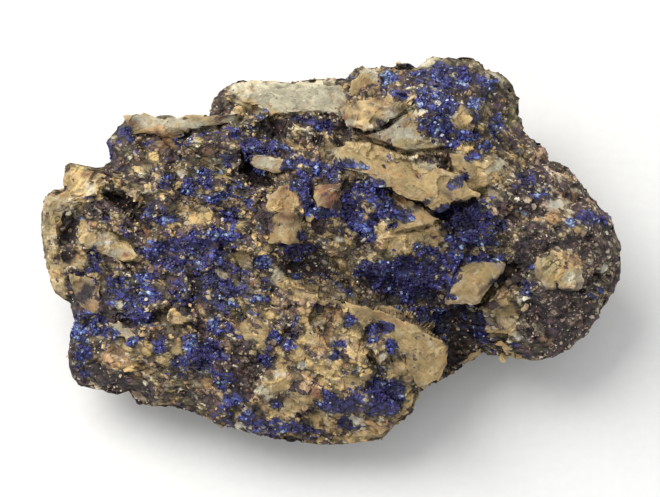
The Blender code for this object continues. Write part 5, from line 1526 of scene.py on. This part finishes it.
# Loose shapes over the stone: how many, least and added half width with the power that keeps large
# ones rare, length and flatness against the width, how far each is sunk, how much it stands along
# the ground's own direction, the rings of its profile as height and width, its corners, how uneven
# they are, how worn it looks, the share of pale ones, and the spread of the crystals' lightness
scatters = {
    "azurite_druse": {
        "count": 4000, "width": (0.11, 0.27, 2.4), "length": (0.85, 0.75), "flat": (0.45, 0.4),
        "sunk": 0.43, "upright": 0.62, "rings": [(-0.6, 0.9), (0.55, 1.0)], "corners": 4,
        "uneven": 0.25, "seed": 5, "spread": 0.45, "wear": (0.1, 0.5),
    },
    "rock_crumbs": {
        "count": 3400, "width": (0.10, 0.20, 2.6), "length": (0.50, 0.60), "flat": (0.35, 0.6),
        "sunk": 0.42, "upright": 0.55, "rings": [(-0.5, 0.9), (0.45, 0.95)], "corners": 4,
        "uneven": 1.05, "seed": 6, "paleShare": 0.20, "wear": (-0.1, 0.6),
    },
    "rock_chips": {
        "count": 220, "width": (0.32, 0.40, 2.0), "length": (0.26, 0.34), "flat": (0.45, 0.45),
        "sunk": 0.68, "upright": 0.84, "rings": [(-0.8, 0.85), (0.45, 1.0), (0.9, 0.75)], "corners": 5,
        "uneven": 1.0, "seed": 7, "paleShare": 0.04, "wear": (-0.1, 0.6),
    },
}


# Many places on the stone, drawn by area times weight: the place, its outward direction and the
# index of a vertex beside it
def scatterPlaces(mesh, weights, count, rng):
    mesh.calc_loop_triangles()
    corners = np.empty(len(mesh.loop_triangles) * 3, np.int32)
    mesh.loop_triangles.foreach_get("vertices", corners)
    corners = corners.reshape(-1, 3)
    points = vertexValues(mesh, "co")
    first, second, third = (points[corners[:, side]] for side in range(3))
    cross = np.cross(second - first, third - first)
    area = np.linalg.norm(cross, axis=1)
    chance = area * weights[corners].mean(axis=1)
    drawn = rng.choice(len(corners), count, p=chance / chance.sum())
    share = np.sort(rng.random((count, 2)), axis=1)
    spread = np.column_stack([share[:, 0], share[:, 1] - share[:, 0], 1.0 - share[:, 1]])
    places = (points[corners[drawn]] * spread[:, :, None]).sum(axis=1)
    return places, cross[drawn] / area[drawn, None], corners[drawn, 0]


def unitVectors(rng, count):
    drawn = rng.normal(size=(count, 3))
    return drawn / np.linalg.norm(drawn, axis=1, keepdims=True)


# One closed shape: rings of a profile round an upright axis and a pole below and above them. Gives
# its points, its quads and its triangles
def grainShape(profile, sides):
    turn = np.arange(sides) * 2 * math.pi / sides
    rings = [
        np.column_stack([wide * np.cos(turn), wide * np.sin(turn), turn * 0 + high])
        for high, wide in profile
    ]
    shape = np.concatenate(rings + [[[0.0, 0.0, -1.0]], [[0.0, 0.0, 1.0]]])
    around = np.arange(sides)
    onwards = np.roll(around, -1)
    last = sides * (len(profile) - 1)
    low, high = last + sides, last + sides + 1
    quads = [
        np.stack([around, onwards, onwards + sides, around + sides], axis=1) + sides * row
        for row in range(len(profile) - 1)
    ]
    bottom = np.stack([around, np.full(sides, low), onwards], axis=1)
    top = np.stack([around + last, onwards + last, np.full(sides, high)], axis=1)
    return shape, np.concatenate(quads), np.concatenate([bottom, top])


# Broken grains or crystals: one shape set down many times, every corner of it pushed in or out,
# and each turned, sized and sunk on its own
def makeScatter(name, weights, material, coloured):
    look = scatters[name]
    rng = np.random.default_rng(look["seed"])
    count = look["count"]
    places, outwards, beside = scatterPlaces(stonePiece.data, weights, count, rng)
    shape, quads, triangles = grainShape(look["rings"], look["corners"])
    least, more, power = look["width"]
    width = least + more * rng.random(count) ** power
    length = width * (look["length"][0] + look["length"][1] * rng.random(count))
    flat = width * (look["flat"][0] + look["flat"][1] * rng.random(count))
    size = np.column_stack([width, flat, length])[:, None, :] * mm
    uneven = 1.0 + look["uneven"] * (rng.random((count, len(shape), 3)) - 0.5)
    axis = look["upright"] * outwards + (1.0 - look["upright"]) * unitVectors(rng, count)
    axis /= np.linalg.norm(axis, axis=1, keepdims=True)
    across = np.cross(axis, unitVectors(rng, count))
    across /= np.linalg.norm(across, axis=1, keepdims=True)
    frames = np.stack([across, np.cross(axis, across), axis], axis=1)
    local = shape[None] * uneven * size
    local[:, :, 2] -= (look["sunk"] - 0.5) * length[:, None] * mm
    points = (places[:, None, :] + local @ frames).reshape(-1, 3)
    step = (np.arange(count) * len(shape))[:, None, None]
    faceLists = [(quads[None] + step).reshape(-1, 4), (triangles[None] + step).reshape(-1, 3)]
    piece = makePiece(name, np.clip(points, cadLow, cadHigh), faceLists, material)
    values, relief = coloured(stoneValues[beside], look, rng)
    storeCovers(piece.data, np.repeat(values, len(shape), axis=0), np.repeat(relief, len(shape)))
    return enterPiece(piece)


# Each crystal: its own two random values, and a lightness near the ground's within a spread
def crystalColours(ground, look, rng):
    values = ground.copy()
    values[:, :2] = rng.random((len(ground), 2))
    sway = look["spread"] * (rng.random(len(ground)) - 0.5)
    values[:, 2] = np.clip(ground[:, 2] + sway, 0.0, 1.0)
    least, more = look["wear"]
    return values, least + more * rng.random(len(ground))


# Each crumb: plain host rock of the ground's tint, lighter or darker, some pale, brown or orange
crumbLook = {
    "pale": (0.62, 0.58, 0.44), "brown": (0.17, 0.11, 0.07), "orange": (0.46, 0.25, 0.11),
    "brownShare": 0.28, "orangeShare": 0.05, "shade": (0.60, 0.70),
}


def crumbColours(ground, look, rng):
    values = ground.copy()
    values[:, 0], values[:, 1] = 0.0, 1.0
    pick = rng.random(len(ground))[:, None]
    tint = np.where(pick < look["paleShare"], crumbLook["pale"], ground[:, 3:])
    tint = np.where(pick > 1.0 - crumbLook["brownShare"], crumbLook["brown"], tint)
    tint = np.where(pick > 1.0 - crumbLook["orangeShare"], crumbLook["orange"], tint)
    least, more = crumbLook["shade"]
    values[:, 3:] = tint * (least + more * rng.random((len(ground), 1)))
    least, more = look["wear"]
    return values, least + more * rng.random(len(ground))


# How thickly loose shapes lie: none under a plate or within a millimetre of the table, fewer where
# the ground faces away; crystals from a share of azurite upwards and thinner on dark patches;
# crumbs by the share of host rock, and none where that is nearly whole
scatterGround = {
    "facing": (0.35, 0.65, 0.3), "leastAzurite": 0.36, "dark": (0.35, 0.65, 0.36, 0.12),
    "host": 0.12, "wholeHost": (0.78, 0.24),
}


def scatterWeights():
    look = scatterGround
    height = vertexValues(stonePiece.data, "co")[:, 2] / mm
    faceOut = np.array([0.0, -math.sin(layout["lean"]), math.cos(layout["lean"])])
    least, more, turned = look["facing"]
    facing = least + more * ramp(vertexValues(stonePiece.data, "normal") @ faceOut + turned)
    ground = openGround * np.clip(height - 1.0, 0.0, 1.0) * facing
    blueShare, hostShare, lightness = stoneValues[:, :3].T
    least, more, darkest, over = look["dark"]
    crystals = ground * np.clip(blueShare - look["leastAzurite"], 0, 1)
    crystals *= least + more * ramp((lightness - darkest) / over)
    whole, over = look["wholeHost"]
    crumbs = ground * (look["host"] + hostShare) * (1.0 - blueShare)
    crumbs *= ramp((whole - hostShare) / over)
    return crystals, crumbs


# The stage: half width of the floor and how far it lies under the stone, its two tones and their
# clouds; a soft lamp at the upper left and a pale sky; and the camera's distance, its aim on the
# face and the width that it takes in there, in millimetres, with its near limit in metres
stage = {
    "floor": {"half": 1.5, "under": -0.05 * mm, "clouds": (1.5, 3.0), "roughness": 0.9},
    "floorTones": [(0.74, 0.735, 0.72, 1.0), (0.80, 0.795, 0.78, 1.0)],
    "key": {"place": (-0.26, 0.20, 0.42), "size": 0.40, "power": 3.1, "colour": (1.0, 0.985, 0.96)},
    "sky": (0.96, 0.98, 1.0), "skyStrength": 0.76,
    "distance": 400.0, "aim": (-0.31, 0.23), "fieldWidth": 102.43, "sensor": 36.0, "nearest": 0.01,
}


# A pale floor under the resting face
def makeStage():
    look = stage["floor"]
    half, under = look["half"], look["under"]
    mesh = bpy.data.meshes.new("floor")
    corners = [(-half, -half, under), (half, -half, under), (half, half, under), (-half, half, under)]
    mesh.from_pydata(corners, [], [(0, 1, 2, 3)])
    floor = newObject("floor", mesh)
    material, tree, shader = newMaterial("pale floor")
    clouds = noise(tree, millimetres(tree), *look["clouds"])
    feed(tree, mixColours(tree, clouds, *stage["floorTones"]), shader.inputs["Base Color"])
    shader.inputs["Roughness"].default_value = look["roughness"]
    mesh.materials.append(material)
    floor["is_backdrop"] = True


# A large soft lamp and a pale sky
def makeLights():
    key = stage["key"]
    lamp = bpy.data.lights.new("window", "AREA")
    lamp.size = key["size"]
    lamp.energy = key["power"]
    lamp.color = key["colour"]
    holder = newObject("window", lamp)
    holder.location = key["place"]
    holder.rotation_euler = (-Vector(key["place"])).to_track_quat("-Z", "Y").to_euler()
    world = bpy.data.worlds.new("pale room")
    world.use_nodes = True
    background = world.node_tree.nodes["Background"]
    background.inputs["Color"].default_value = (*stage["sky"], 1.0)
    background.inputs["Strength"].default_value = stage["skyStrength"]
    bpy.context.scene.world = world
    bpy.context.scene.view_settings.view_transform = "Standard"


# The camera stands straight over the leaning face, at the distance that the stone narrows to
def makeCamera():
    camera = bpy.data.cameras.new("camera")
    camera.sensor_width = stage["sensor"]
    camera.lens = stage["sensor"] * stage["distance"] / stage["fieldWidth"]
    camera.clip_start = stage["nearest"]
    holder = newObject("camera", camera)
    lean = layout["lean"]
    middle = Vector((layout["shift"][0], layout["shift"][1], layout["lift"])) * mm
    up = Vector((0.0, math.cos(lean), math.sin(lean)))
    out = Vector((0.0, -math.sin(lean), math.cos(lean)))
    aim = middle + (Vector((1.0, 0.0, 0.0)) * stage["aim"][0] + up * stage["aim"][1]) * mm
    holder.location = aim + out * stage["distance"] * mm
    holder.rotation_euler = (lean, 0.0, 0.0)
    bpy.context.scene.camera = holder


print("finishes")
grainsGroup = makeGrainsGroup()
hostGroup = makeHostGroup()
azuriteGroup = makeAzuriteGroup()
shadeAndWearGroup = makeShadeAndWearGroup()
rockMaterial = makeRockMaterial()
crystalMaterial = makeCrystalMaterial()

print("stone")
stonePiece, stoneValues, openGround = makeStone(rockMaterial)

print("plates")
for plateName, plateValues in plates.items():
    makePlate(plateName, plateValues, rockMaterial)

print("crystals and crumbs")
crystalWeights, crumbWeights = scatterWeights()
makeScatter("azurite_druse", crystalWeights, crystalMaterial, crystalColours)
makeScatter("rock_crumbs", crumbWeights, rockMaterial, crumbColours)
makeScatter("rock_chips", crumbWeights, rockMaterial, crumbColours)

print("stage")
makeStage()
makeLights()
makeCamera()
